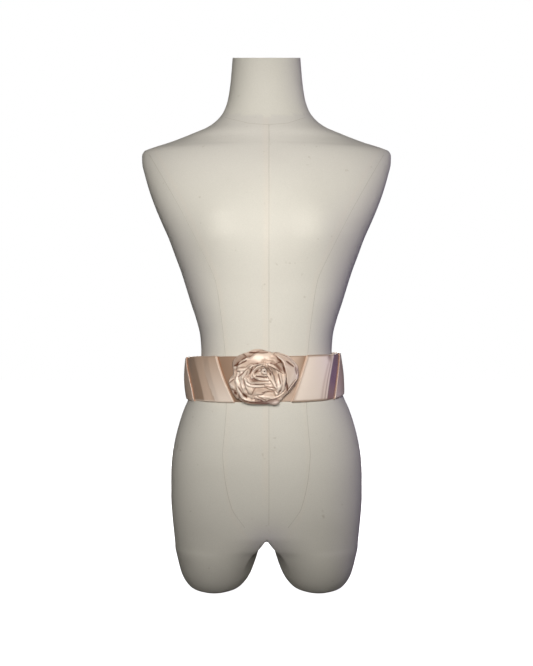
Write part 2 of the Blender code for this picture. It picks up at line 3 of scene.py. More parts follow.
import bmesh
import bpy
import numpy as np
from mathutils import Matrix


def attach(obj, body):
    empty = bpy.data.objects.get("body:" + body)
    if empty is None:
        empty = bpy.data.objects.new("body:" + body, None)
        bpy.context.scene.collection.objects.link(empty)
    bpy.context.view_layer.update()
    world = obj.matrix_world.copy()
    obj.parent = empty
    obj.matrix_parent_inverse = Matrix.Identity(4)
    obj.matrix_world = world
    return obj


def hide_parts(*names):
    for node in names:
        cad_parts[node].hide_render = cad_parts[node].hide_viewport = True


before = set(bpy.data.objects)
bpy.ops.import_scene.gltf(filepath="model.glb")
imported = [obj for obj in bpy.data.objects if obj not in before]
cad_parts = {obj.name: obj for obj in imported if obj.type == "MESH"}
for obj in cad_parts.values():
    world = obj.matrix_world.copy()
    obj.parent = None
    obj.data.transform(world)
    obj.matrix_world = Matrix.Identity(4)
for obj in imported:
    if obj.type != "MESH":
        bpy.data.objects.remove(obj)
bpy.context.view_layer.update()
axisY = 0.0043  # the neck's axis stands this far behind the origin

# Shader helpers


def newMaterial(name, color, roughness, metallic=0.0, specular=0.5, sheen=0.0, sheenTint=None):
    material = bpy.data.materials.new(name)
    material.use_nodes = True
    tree = material.node_tree
    shader = tree.nodes["Principled BSDF"]
    shader.inputs["Base Color"].default_value = (*color, 1.0)
    shader.inputs["Roughness"].default_value = roughness
    shader.inputs["Metallic"].default_value = metallic
    shader.inputs["Specular IOR Level"].default_value = specular
    shader.inputs["Sheen Weight"].default_value = sheen
    if sheenTint:
        shader.inputs["Sheen Tint"].default_value = (*sheenTint, 1.0)
    return material, tree, shader


def addNode(tree, kind, **settings):
    node = tree.nodes.new(kind)
    for key, value in settings.items():
        if key in node.inputs:
            node.inputs[key].default_value = value
        else:
            setattr(node, key, value)
    return node


def addNoise(tree, place, scale, detail, roughness=0.5):
    noise = addNode(tree, "ShaderNodeTexNoise", Scale=scale, Detail=detail, Roughness=roughness)
    tree.links.new(place, noise.inputs["Vector"])
    return noise.outputs["Fac"]


def addStretch(tree, place, scale):
    mapping = addNode(tree, "ShaderNodeMapping", Scale=scale)
    tree.links.new(place, mapping.inputs["Vector"])
    return mapping.outputs[0]


def addTone(tree, label):
    return addNode(tree, "ShaderNodeAttribute", attribute_name=label).outputs["Fac"]


def addBump(tree, shader, height, strength, distance):
    bump = addNode(tree, "ShaderNodeBump", Strength=strength, Distance=distance)
    tree.links.new(height, bump.inputs["Height"])
    tree.links.new(bump.outputs["Normal"], shader.inputs["Normal"])


def maths(tree, operation, first, second=None, third=None, clamp=False):
    node = addNode(tree, "ShaderNodeMath", operation=operation, use_clamp=clamp)
    for socket, value in zip(node.inputs, (first, second, third)):
        if isinstance(value, (int, float)):
            socket.default_value = value
        elif value is not None:
            tree.links.new(value, socket)
    return node.outputs[0]


def mixColors(tree, factor, first, second, blend="MIX"):
    node = addNode(tree, "ShaderNodeMix", data_type="RGBA", blend_type=blend)
    for socket, value in ((node.inputs[0], factor), (node.inputs[6], first), (node.inputs[7], second)):
        if isinstance(value, (int, float)):
            socket.default_value = value
        elif isinstance(value, tuple):
            socket.default_value = (*value, 1.0)
        else:
            tree.links.new(value, socket)
    return node.outputs[2]


# Camera, floor and light
view = {
    "cameraHeight": 0.4232,
    "cameraDistance": 1.6,
    "focalPixels": 964.0,
    "frameHeightPixels": 666.0,
    "sensor": 36.0,
    "floorSize": 14.0,
    "floorDrop": 0.0004,
    "floorColor": (0.92, 0.92, 0.92),
    "floorGlow": 1.05,
    "ambientColor": (0.67, 0.62, 0.60, 1.0),
    "ambient": 0.062,
    "spotAngle": 57.0,
}
lamps = [
    # name, place, aimed at, size, watts, colour
    ("frontLamp", (-0.02, -1.45, 0.68), (0.0, 0.0, 0.560), (0.30, 0.30), 92.0, (1.0, 0.983, 0.958)),
    ("leftLamp", (-1.5, -1.0, 0.72), (0.0, 0.0, 0.60), (0.4, 0.8), 0.4, (1.0, 0.96, 0.88)),
    ("rightLamp", (1.4, 0.36, 0.62), (0.0, 0.0, 0.55), (0.4, 0.9), 2.8, (0.58, 0.48, 1.0)),
    ("backLamp", (0.1, 1.9, 1.0), (0.0, 0.0, 0.50), (0.9, 0.9), 24.0, (1.0, 0.98, 0.95)),
]


def makeStage():
    camera = bpy.data.objects.new("camera", bpy.data.cameras.new("camera"))
    camera.data.sensor_width = view["sensor"]
    camera.data.lens = view["focalPixels"] / view["frameHeightPixels"] * view["sensor"]
    camera.data.clip_end = 30.0
    camera.location = (0.0, axisY - view["cameraDistance"], view["cameraHeight"])
    camera.rotation_euler = (math.pi / 2, 0.0, 0.0)
    bpy.context.collection.objects.link(camera)
    bpy.context.scene.camera = camera
    bpy.context.scene.view_settings.view_transform = "Standard"

    half = view["floorSize"] / 2
    corners = [(-half, -half), (half, -half), (half, half), (-half, half)]
    mesh = bpy.data.meshes.new("floor")
    mesh.from_pydata([(x, y, -view["floorDrop"]) for x, y in corners], [], [(0, 1, 2, 3)])
    floor = bpy.data.objects.new("floor", mesh)
    bpy.context.collection.objects.link(floor)
    floor.visible_diffuse = False  # the photograph's form gets no light from below
    floor.visible_glossy = False
    material, _, shader = newMaterial("floorPaper", view["floorColor"], 0.9, specular=0.0)
    shader.inputs["Emission Color"].default_value = (1, 1, 1, 1)
    shader.inputs["Emission Strength"].default_value = view["floorGlow"]
    mesh.materials.append(material)

    world = bpy.data.worlds.new("room")
    bpy.context.scene.world = world
    world.use_nodes = True
    # the camera sees a white room, and the form is lit by a dim one
    tree = world.node_tree
    tree.nodes.clear()
    seen = addNode(tree, "ShaderNodeBackground", Color=(1, 1, 1, 1))
    lit = addNode(tree, "ShaderNodeBackground", Color=view["ambientColor"], Strength=view["ambient"])
    path = addNode(tree, "ShaderNodeLightPath")
    mix = addNode(tree, "ShaderNodeMixShader")
    out = addNode(tree, "ShaderNodeOutputWorld")
    sources = (path.outputs["Is Camera Ray"], lit.outputs[0], seen.outputs[0])
    for source, socket in zip((*sources, mix.outputs[0]), (*mix.inputs, out.inputs["Surface"])):
        tree.links.new(source, socket)

    for name, place, target, size, watts, color in lamps:
        lamp = bpy.data.lights.new(name, "SPOT" if name == "frontLamp" else "AREA")
        if lamp.type == "SPOT":
            lamp.shadow_soft_size = size[0]
            lamp.spot_size, lamp.spot_blend = math.radians(view["spotAngle"]), 1.0
        else:
            lamp.shape = "RECTANGLE"
            lamp.size, lamp.size_y = size
        lamp.energy = watts
        lamp.color = color
        holder = bpy.data.objects.new(name, lamp)
        reach = [b - a for a, b in zip(place, target)]
        flat = math.hypot(reach[0], reach[1])
        holder.location = place
        holder.rotation_euler = (
            math.pi / 2 + math.atan2(reach[2], flat),
            0.0,
            math.atan2(reach[1], reach[0]) - math.pi / 2,
        )
        bpy.context.collection.objects.link(holder)


makeStage()
print("stage: camera, floor and lamps")


# Shared mesh helpers


def unit(value):
    return np.clip(value, 0, 1)


def bell(value, middle, width):
    return np.exp(-(((value - middle) / width) ** 2))


def unitVectors(vectors):
    return vectors / np.maximum(np.linalg.norm(vectors, axis=-1, keepdims=True), 1e-12)


def fan(ring, centre):
    # triangles from a closed loop of point numbers to one point
    return np.stack([ring, np.roll(ring, -1), np.full(len(ring), centre)], axis=-1)


def gridQuads(rows, columns, first=0, wrap=False):
    # quads of a rows by columns grid of points, numbered row by row; wrap joins the last column
    across = columns if wrap else columns - 1
    r, c = np.meshgrid(np.arange(rows - 1), np.arange(across), indexing="ij")
    a = r * columns + c
    b = r * columns + (c + 1) % columns
    return first + np.stack([a, b, b + columns, a + columns], axis=-1).reshape(-1, 4)


def ringQuads(below, above):
    # quads between two closed loops of point numbers
    return np.stack([below, np.roll(below, -1), np.roll(above, -1), above], axis=-1)


def makePiece(name, points, quads, material, replaced=(), triangles=None, uv=None):
    faces = [tuple(q) for q in np.asarray(quads).tolist()]
    if triangles is not None:
        faces += [tuple(t) for t in np.asarray(triangles).tolist()]
    mesh = bpy.data.meshes.new(name)
    mesh.from_pydata(np.asarray(points, float).tolist(), [], faces)
    shell = bmesh.new()
    shell.from_mesh(mesh)
    bmesh.ops.recalc_face_normals(shell, faces=shell.faces)
    shell.to_mesh(mesh)
    shell.free()
    mesh.shade_smooth()
    if uv is not None:
        layer = mesh.uv_layers.new(name="cloth")
        corners = np.empty(len(mesh.loops), int)
        mesh.loops.foreach_get("vertex_index", corners)
        layer.data.foreach_set("uv", np.asarray(uv, float)[corners].ravel())
    piece = bpy.data.objects.new(name, mesh)
    bpy.context.collection.objects.link(piece)
    mesh.materials.append(material)
    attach(piece, "root")
    if replaced:
        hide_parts(*replaced)
    return piece


def clothWall(outer, inner, uv):
    # a wall from its two faces; a rounded nose, half a wall out, joins them along the rim
    rows, columns = outer.shape[:2]
    size = rows * columns
    numbers = np.arange(size).reshape(rows, columns)
    rim = np.concatenate([numbers[0], numbers[1:, -1], numbers[-1, -2::-1], numbers[-2:0:-1, 0]])
    row, column = np.divmod(rim, columns)
    middle = (outer + inner) / 2
    edge = middle[row, column]
    away = unitVectors(edge - middle[np.clip(row, 1, rows - 2), np.clip(column, 1, columns - 2)])
    wall = np.linalg.norm(outer - inner, axis=-1)[row, column]
    nose = edge + away * wall[:, None] * 0.45
    noseRim = 2 * size + np.arange(len(rim))
    points = np.concatenate([outer.reshape(-1, 3), inner.reshape(-1, 3), nose])
    quads = [
        gridQuads(rows, columns),
        gridQuads(rows, columns, size)[:, ::-1],
        ringQuads(noseRim, rim),
        ringQuads(rim + size, noseRim),
    ]
    flatUv = uv.reshape(-1, 2)
    return points, np.concatenate(quads), np.concatenate([flatUv, flatUv, flatUv[rim]])


def smoothThrough(knownAt, known, at):
    # monotone cubic through the known values, read at the given places
    knownAt, known = np.asarray(knownAt, float), np.asarray(known, float)
    step = np.diff(knownAt)
    slope = np.diff(known) / step
    tangent = np.zeros_like(known)
    tangent[0], tangent[-1] = slope[0], slope[-1]
    sameWay = slope[:-1] * slope[1:] > 0
    total = np.where(sameWay, slope[:-1] + slope[1:], 1.0)
    tangent[1:-1] = np.where(sameWay, 2 * slope[:-1] * slope[1:] / total, 0.0)
    at = np.clip(np.asarray(at, float), knownAt[0], knownAt[-1])
    cell = np.clip(np.searchsorted(knownAt, at, side="right") - 1, 0, len(step) - 1)
    share = (at - knownAt[cell]) / step[cell]
    blend = share * share * (3 - 2 * share)
    pullFirst = share * (1 - share) ** 2 * step[cell] * tangent[cell]
    pullLast = share * share * (share - 1) * step[cell] * tangent[cell + 1]
    return known[cell] + (known[cell + 1] - known[cell]) * blend + pullFirst + pullLast


# The dress form, in the part's own sizes
form = {
    "columns": 248,
    "forkPoints": 41,
    "forkHeight": 0.084,
    "thighCentreY": 0.0050,
    "rowStep": 0.0045,
    "stepsPerRing": 5,
    "bustSide": 0.070,
    "bustHeight": 0.588,
    "bustSpread": 0.050,
    "bustReach": 0.056,
    "bustDepth": 0.020,
    "neckSlope": 0.285,  # the neck leans forward, so its sections turn with its cut
    "neckBase": 0.790,
    "shoulderHeight": 0.690,
    "neckHeight": 0.760,
    "rimHeights": (0.878, 0.8793),
    "seamPoints": 140,
    "seamSides": 8,
    "seamWidth": 0.00040,
    "seamRise": 0.00014,
}
# height, half width, front, back, roundness
formSections = np.array([
    (0.100, 0.1535, 0.091, 0.104, 2.25), (0.126, 0.1560, 0.095, 0.114, 2.25),
    (0.153, 0.1577, 0.099, 0.121, 2.20), (0.192, 0.1577, 0.103, 0.126, 2.20),
    (0.219, 0.1560, 0.105, 0.124, 2.20), (0.246, 0.1515, 0.105, 0.119, 2.20),
    (0.272, 0.1450, 0.103, 0.111, 2.20), (0.299, 0.1360, 0.100, 0.102, 2.20),
    (0.312, 0.1300, 0.098, 0.097, 2.20), (0.339, 0.1190, 0.094, 0.088, 2.20),
    (0.365, 0.1110, 0.091, 0.081, 2.20), (0.392, 0.1079, 0.089, 0.077, 2.20),
    (0.418, 0.1096, 0.090, 0.076, 2.20), (0.445, 0.1160, 0.093, 0.077, 2.20),
    (0.471, 0.1245, 0.097, 0.080, 2.25), (0.498, 0.1328, 0.102, 0.084, 2.30),
    (0.524, 0.1410, 0.108, 0.088, 2.35), (0.551, 0.1510, 0.113, 0.092, 2.40),
    (0.578, 0.1610, 0.116, 0.096, 2.45), (0.604, 0.1726, 0.115, 0.100, 2.45),
    (0.631, 0.1840, 0.111, 0.103, 2.40), (0.657, 0.1934, 0.104, 0.104, 2.35),
    (0.684, 0.2012, 0.095, 0.102, 2.30), (0.704, 0.2058, 0.087, 0.098, 2.20),
    (0.716, 0.2062, 0.082, 0.094, 2.05), (0.723, 0.2035, 0.079, 0.091, 1.90),
    (0.727, 0.1950, 0.077, 0.089, 1.80), (0.737, 0.1640, 0.073, 0.084, 1.75),
    (0.750, 0.1285, 0.069, 0.078, 1.85), (0.763, 0.0975, 0.064, 0.072, 1.95),
    (0.777, 0.0800, 0.060, 0.066, 2.00), (0.790, 0.0708, 0.058, 0.061, 2.00),
    (0.810, 0.0640, 0.056, 0.056, 2.00), (0.840, 0.0595, 0.054, 0.052, 2.00),
    (0.880, 0.0562, 0.052, 0.050, 2.00),
])
# height, centre across, half width, half depth, share gone round from the body's section
thighRings = np.array([
    (0.079, 0.0800, 0.0715, 0.0910, 0.25), (0.068, 0.0815, 0.0695, 0.0870, 0.55),
    (0.054, 0.0820, 0.0660, 0.0820, 0.80), (0.040, 0.0828, 0.0620, 0.0765, 0.95),
    (0.026, 0.0836, 0.0570, 0.0700, 1.00), (0.014, 0.0843, 0.0500, 0.0620, 1.00),
    (0.005, 0.0848, 0.0410, 0.0520, 1.00), (0.000, 0.0850, 0.0290, 0.0390, 1.00),
])


def formSection(height):
    return [smoothThrough(formSections[:, 0], formSections[:, k], height) for k in range(1, 5)]


def formPoint(turn, height):
    # a rounded-rectangle section whose half width and depths follow the height, plus the bust:
    # a soft bell on each side of the front
    halfWidth, front, back, roundness = formSection(height)
    across, along = np.cos(turn), np.sin(turn)
    x = halfWidth * np.sign(across) * np.abs(across) ** (2 / roundness)
    depth = np.where(along > 0, front, back)
    y = -depth * np.sign(along) * np.abs(along) ** (2 / roundness)
    side = (np.abs(x) - form["bustSide"]) / form["bustSpread"]
    level = (height - form["bustHeight"]) / form["bustReach"]
    bust = form["bustDepth"] * np.clip(along * 2.5, 0, 1) * np.exp(-side * side - level * level)
    lean = np.clip((height - form["neckBase"]) / (formSections[-1, 0] - form["neckBase"]), 0, 1)
    lift = form["neckSlope"] * y * lean * lean * (3 - 2 * lean)
    return np.stack([x, y - bust + axisY, height + lift], axis=-1)


def frontTurn(x, height, facing=1):
    # the turn at which the form is x wide at a height, on its front or, with facing -1, its back
    halfWidth, _, _, roundness = formSection(height)
    share = np.clip(np.abs(x) / halfWidth, 0, 1) ** (roundness / 2)
    return facing * np.arccos(np.sign(x) * share)


def through(stations, steps):
    # a smooth curve for each column through its stations: each span is a cubic whose end slopes
    # come from the stations on both sides; the first station only gives the first slope
    before, here, after = stations[:-2], stations[1:-1], stations[2:]
    beyond = np.concatenate([stations[3:], 2 * stations[-1:] - stations[-2:-1]])
    slopeHere, slopeAfter = (after - before) / 2, (beyond - here) / 2
    t = (np.arange(1, steps + 1) / steps)[None, :, None, None]
    first = (2 * t**3 - 3 * t**2 + 1) * here[:, None] + (t**3 - 2 * t**2 + t) * slopeHere[:, None]
    last = (3 * t**2 - 2 * t**3) * after[:, None] + (t**3 - t**2) * slopeAfter[:, None]
    return (first + last).reshape(-1, *stations.shape[1:])


# Materials

jersey = {
    "color": (0.700, 0.676, 0.606),
    "mottle": (0.640, 0.615, 0.545),
    "tape": (0.720, 0.640, 0.545),
    "stain": (0.42, 0.38, 0.30),
    "thread": 1500.0,  # loops to the metre
    "weaveHeight": 0.00010,
    "weaveStrength": 0.35,
    # painted shade: a violet grey
    "dusk": (0.43, 0.40, 0.43),
    "roughness": 0.92,
    "specular": 0.12,
    "sheen": 0.10,
    "sheenTint": (0.95, 0.93, 0.88),
    "tapeShare": 0.30,
    "stainFloor": 0.735,  # only the fleck noise above this shows as a stain
    "stainGain": 9.0,
    "stainShare": 0.5,
}


def makeJersey():
    material, tree, shader = newMaterial(
        "formJersey",
        jersey["color"],
        jersey["roughness"],
        specular=jersey["specular"],
        sheen=jersey["sheen"],
        sheenTint=jersey["sheenTint"],
    )
    place = addNode(tree, "ShaderNodeTexCoord").outputs["Object"]
    cloud = addNoise(tree, place, 9.0, 4.0)
    grain = addNoise(tree, place, 650.0, 2.0, 0.7)
    fleck = addNoise(tree, place, 95.0, 1.0)
    color = mixColors(tree, cloud, jersey["color"], jersey["mottle"])
    # the padding's paler tape shows through along one side of the long seams
    softTape = maths(tree, "MULTIPLY", addTone(tree, "tape"), jersey["tapeShare"])
    color = mixColors(tree, softTape, color, jersey["tape"])
    # painted shade, a violet grey, over the form's sides, fork and shoulders
    color = mixColors(tree, addTone(tree, "dusk"), color, jersey["dusk"])
    speck = maths(tree, "SUBTRACT", fleck, jersey["stainFloor"])
    speck = maths(tree, "MULTIPLY", speck, jersey["stainGain"], clamp=True)
    color = mixColors(tree, maths(tree, "MULTIPLY", speck, jersey["stainShare"]), color, jersey["stain"])
    grainTone = maths(tree, "MULTIPLY_ADD", grain, 0.16, 0.92)
    grainColor = addNode(tree, "ShaderNodeCombineColor")
    for socket in grainColor.inputs:
        tree.links.new(grainTone, socket)
    color = mixColors(tree, 1.0, color, grainColor.outputs[0], "MULTIPLY")
    tree.links.new(color, shader.inputs["Base Color"])
    # fine knit: two crossed waves, one to each side of the other's ribs
    parts = addNode(tree, "ShaderNodeSeparateXYZ")
    tree.links.new(place, parts.inputs[0])
    turns = jersey["thread"] * 2 * math.pi
    sideways = maths(tree, "ADD", parts.outputs["X"], parts.outputs["Y"])
    ribs = maths(tree, "SINE", maths(tree, "MULTIPLY", sideways, turns))
    loops = maths(tree, "SINE", maths(tree, "MULTIPLY", parts.outputs["Z"], turns))
    weave = maths(tree, "MULTIPLY", ribs, loops)
    height = maths(tree, "ADD", weave, maths(tree, "MULTIPLY", grain, 2.0))
    addBump(tree, shader, height, jersey["weaveStrength"], jersey["weaveHeight"])
    return material


satin = {
    "color": (0.740, 0.550, 0.425),
    "slub": (0.800, 0.620, 0.490),
    # painted light over the satin: a highlight, shade on the belt and deeper shade on the rose, a plum
    # shade and an orange-brown shadow line
    "glow": (1.0, 0.862, 0.745),
    "shade": (0.26, 0.155, 0.095),
    "deepShade": (0.120, 0.040, 0.018),
    "plum": (0.17, 0.085, 0.155),
    "edge": (0.42, 0.17, 0.075),
    "metallic": 0.15,
    "specular": 0.42,
    "anisotropy": 0.4,
    "sheen": 0.12,
    "sheenTint": (1.0, 0.88, 0.80),
    "roughness": 0.42,
    "roseColor": (0.79, 0.605, 0.480),
    "roseRoughness": 0.44,
    "threads": 2600.0,  # to the metre
    "threadHeight": 0.00006,
    "threadStrength": 0.25,
}


def makeSatin(name, color, roughness, shade):
    material, tree, shader = newMaterial(
        name,
        color,
        roughness,
        metallic=satin["metallic"],
        specular=satin["specular"],
        sheen=satin["sheen"],
        sheenTint=satin["sheenTint"],
    )
    shader.inputs["Anisotropic"].default_value = satin["anisotropy"]
    cloth = addNode(tree, "ShaderNodeUVMap", uv_map="cloth").outputs[0]
    tangent = addNode(tree, "ShaderNodeTangent", direction_type="UV_MAP", uv_map="cloth")
    tree.links.new(tangent.outputs[0], shader.inputs["Tangent"])
    slub = addNoise(tree, addStretch(tree, cloth, (1.0, 9.0, 1.0)), 90.0, 3.0)
    base = mixColors(tree, slub, color, satin["slub"])
    # painted highlight, painted shade, painted plum shade and a painted orange-brown shadow line, laid
    # over the cloth's colour
    for label in ("glow", "shade", "plum", "edge"):
        base = mixColors(tree, addTone(tree, label), base, shade if label == "shade" else satin[label])
    tree.links.new(base, shader.inputs["Base Color"])
    # satin floats: long threads side by side, with a finer grain along them
    parts = addNode(tree, "ShaderNodeSeparateXYZ")
    tree.links.new(cloth, parts.inputs[0])
    turns = satin["threads"] * 2 * math.pi
    floats = maths(tree, "SINE", maths(tree, "MULTIPLY", parts.outputs["Y"], turns))
    height = maths(tree, "ADD", floats, maths(tree, "MULTIPLY", slub, 3.0))
    addBump(tree, shader, height, satin["threadStrength"], satin["threadHeight"])
    return material


jerseyMaterial = makeJersey()
satinMaterial = makeSatin("beltSatin", satin["color"], satin["roughness"], satin["shade"])
roseMaterial = makeSatin("roseSatin", satin["roseColor"], satin["roseRoughness"], satin["deepShade"])
seamMaterial = newMaterial("formSeamThread", (0.53, 0.50, 0.435), 0.9, specular=0.2)[0]
print("materials: jersey, satin and thread")


# The dress form


def setAttribute(piece, name, values):
    layer = piece.data.attributes.new(name, "FLOAT", "POINT")
    layer.data.foreach_set("value", np.asarray(values, np.float32).ravel())


def paint(piece, faces, **lightTones):
    # painted light and shade over the first faces of a wall, its outer one first; the rest of it keeps
    # none
    for label, values in lightTones.items():
        front = np.tile(np.ravel(values), faces)
        rest = np.zeros(len(piece.data.vertices) - len(front))
        setAttribute(piece, label, np.concatenate([front, rest]))


# the cover's long seams as the front shows them: across and height, in metres
sideSeam = np.array([
    (-0.1945, 0.7190), (-0.1740, 0.6840), (-0.1420, 0.6275), (-0.1120, 0.5690), (-0.0850, 0.5110),
    (-0.0790, 0.4780), (-0.0680, 0.3800), (-0.0665, 0.3040), (-0.0695, 0.2620), (-0.0727, 0.2225),
    (-0.0700, 0.1865), (-0.0645, 0.1555), (-0.0565, 0.1285), (-0.0357, 0.0995), (-0.0200, 0.0870),
])
neckSeam = np.array(
    [(-0.0690, 0.7810), (-0.0300, 0.7715), (0.0010, 0.7690), (0.0350, 0.7715), (0.0650, 0.7810)]
)
centreSeam = np.array([(0.0041, 0.7685), (0.0041, 0.45), (0.0041, 0.1040)])


# the cover's tones, its tape and its painted shade: where each lies (height, half height) or how wide it
# is, and how strong it is
cover = {
    "tapeOffset": 0.003,
    "tapeHalf": 0.0035,
    "tapeStrength": 0.55,
    "tapeTop": 0.765,
    "waist": (0.46, 0.15),
    "thigh": (0.15, 0.11),
    "shadeWaistRight": 0.85,
    "shadeWaistLeft": 0.55,
    "shadeThigh": 0.5,
    "shadeFork": 0.6,
    "shadeNeck": 0.16,
}


def makeFormBody():
    columns, middle = form["columns"], form["columns"] // 4
    turns = 2 * math.pi * np.arange(columns) / columns
    low, high = formSections[0, 0], formSections[-1, 0]
    shoulder, neck, (rim, rimEdge) = form["shoulderHeight"], form["neckHeight"], form["rimHeights"]
    heights = [
        np.linspace(low, shoulder, round((shoulder - low) / form["rowStep"])),
        np.linspace(shoulder, neck, 36)[1:],
        np.linspace(neck, rim, 26)[1:],
        [rimEdge, high],
    ]
    heights = np.concatenate(heights)
    trunk = formPoint(turns[None, :], heights[:, None])
    size = len(heights) * columns
    topCentre = trunk[-1].mean(axis=0)
    capRings = topCentre + (trunk[-1] - topCentre) * np.array([0.985, 0.6, 0.25])[:, None, None]

    share = np.arange(1, form["forkPoints"] + 1) / (form["forkPoints"] + 1)
    front, back = trunk[0, middle], trunk[0, 3 * middle]
    fork = front + (back - front) * share[:, None]
    fork[:, 2] -= (low - form["forkHeight"]) * np.sin(math.pi * share) ** 0.6
    points = [trunk.reshape(-1, 3), fork, capRings.reshape(-1, 3), topCentre[None]]
    faces = [gridQuads(len(heights), columns, wrap=True)]
    forkPick = size + np.arange(form["forkPoints"])
    capPick = size + form["forkPoints"] + np.arange(3 * columns)
    count = size + form["forkPoints"] + 3 * columns + 1
    topRing = (len(heights) - 1) * columns + np.arange(columns)
    faces += [ringQuads(topRing, capPick[:columns]), gridQuads(3, columns, capPick[0], wrap=True)]
    tips = [fan(capPick[2 * columns :], count - 1)]

    rightOutside = np.arange(3 * middle, 3 * middle + columns // 2 + 1) % columns
    leftOutside = np.arange(middle, 3 * middle + 1)
    flat = np.concatenate(points[:2])
    for side, loop in (
        (1, np.concatenate([rightOutside, forkPick])),
        (-1, np.concatenate([leftOutside, forkPick[::-1]])),
    ):
        start = flat[loop]
        body = formSections[0]
        across = side * start[:, 0] / (body[1] / 2) - 1
        depth = (start[:, 1] - axisY - form["thighCentreY"]) / ((body[2] + body[3]) / 2)
        length = np.hypot(across, depth)
        rings = []
        for height, centre, halfWidth, halfDepth, roundness in thighRings:
            a = across + (across / length - across) * roundness
            d = depth + (depth / length - depth) * roundness
            x = side * (centre + halfWidth * a)
            y = axisY + form["thighCentreY"] + halfDepth * d
            rings.append(np.stack([x, y, np.full_like(x, height)], axis=-1))
        outside = np.arange(len(loop)) <= columns // 2
        above = flat[np.where(outside, loop + 4 * columns, loop)]
        mirrored = rings[0] * (-1, 1, 1)
        above = np.where(outside[:, None], start + (above - start) * 0.8, mirrored)
        leg = through(np.stack([above, start, *rings]), form["stepsPerRing"])
        leg[:, :, 2] = np.maximum(leg[:, :, 2], 0.0)
        legStart, around, rows = count, len(loop), len(leg)
        points.append(leg.reshape(-1, 3))
        faces.append(ringQuads(loop, legStart + np.arange(around)))
        faces.append(gridQuads(rows, around, legStart, wrap=True))
        count += rows * around
        centre = leg[-1].mean(axis=0)
        inner = centre + (leg[-1] - centre) * 0.5
        points += [inner, centre[None]]
        lastRow = legStart + (rows - 1) * around + np.arange(around)
        innerPick = count + np.arange(around)
        faces.append(ringQuads(lastRow, innerPick))
        tips.append(fan(innerPick, count + around))
        count += around + 1
    points = np.concatenate(points)
    body = makePiece(
        "formBody",
        points,
        np.concatenate(faces),
        jerseyMaterial,
        ["dress_form"],
        np.concatenate(tips),
    )
    # tape: full between the seam and its far edge, front only
    x, y, z = points.T
    seamX = 0.94 * np.interp(z, sideSeam[::-1, 1], sideSeam[::-1, 0])
    facing = (y < axisY) & (z < cover["tapeTop"])
    offset, half = cover["tapeOffset"], cover["tapeHalf"]
    sideTapes = bell(x - seamX, offset, half) + bell(x + seamX, -offset, half)
    centreTape = unit(1.4 - np.abs(x + 0.0013) / 0.0052) * unit((z - 0.14) / 0.05)
    tape = np.where(facing, unit(centreTape + cover["tapeStrength"] * sideTapes), 0)
    setAttribute(body, "tape", tape)
    # painted shade, a violet grey: towards the waist's sides, down the right thigh, over the fork and
    # under the neck seam
    outermost = np.interp(z, heights, np.abs(trunk[..., 0]).max(axis=1))
    aside = unit((np.abs(x) / outermost - 0.55) / 0.45) ** 1.5
    atWaist, atThigh = bell(z, *cover["waist"]), bell(z, *cover["thigh"])
    onRight = np.maximum(cover["shadeWaistRight"] * atWaist, cover["shadeThigh"] * atThigh)
    dusk = aside * np.where(x > 0, onRight, cover["shadeWaistLeft"] * atWaist)
    overFork = np.exp(-(((x - 0.002) / 0.032) ** 2) - ((z - 0.092) / 0.030) ** 2) * (y < axisY)
    underNeck = unit((z - 0.64) / 0.08) * (z < np.interp(x, *neckSeam.T))
    dusk = np.maximum(dusk, cover["shadeFork"] * overFork)
    setAttribute(body, "dusk", np.maximum(dusk, cover["shadeNeck"] * underNeck))
    return body


def makeSteel():
    # nickelled wire: brushed streaks along each plate and a faint dulling
    material, tree, shader = newMaterial("hookSteel", (0.62, 0.62, 0.63), 0.3, metallic=1.0)
    shader.inputs["Anisotropic"].default_value = 0.5
    place = addNode(tree, "ShaderNodeTexCoord").outputs["Object"]
    streak = addNoise(tree, addStretch(tree, place, (1.0, 1.0, 14.0)), 420.0, 3.0)
    dull = addNoise(tree, place, 160.0, 2.0)
    color = mixColors(tree, dull, (0.66, 0.66, 0.67), (0.50, 0.49, 0.47))
    tree.links.new(color, shader.inputs["Base Color"])
    rough = maths(tree, "MULTIPLY_ADD", streak, 0.25, 0.18)
    tree.links.new(rough, shader.inputs["Roughness"])
    addBump(tree, shader, streak, 0.3, 0.00004)
    for number in (1, 2, 3):
        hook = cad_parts["back_hook_%d" % number]
        hook.data.materials.clear()
        hook.data.materials.append(material)


makeSteel()
formBody = makeFormBody()
print("form: %d faces" % len(formBody.data.polygons))


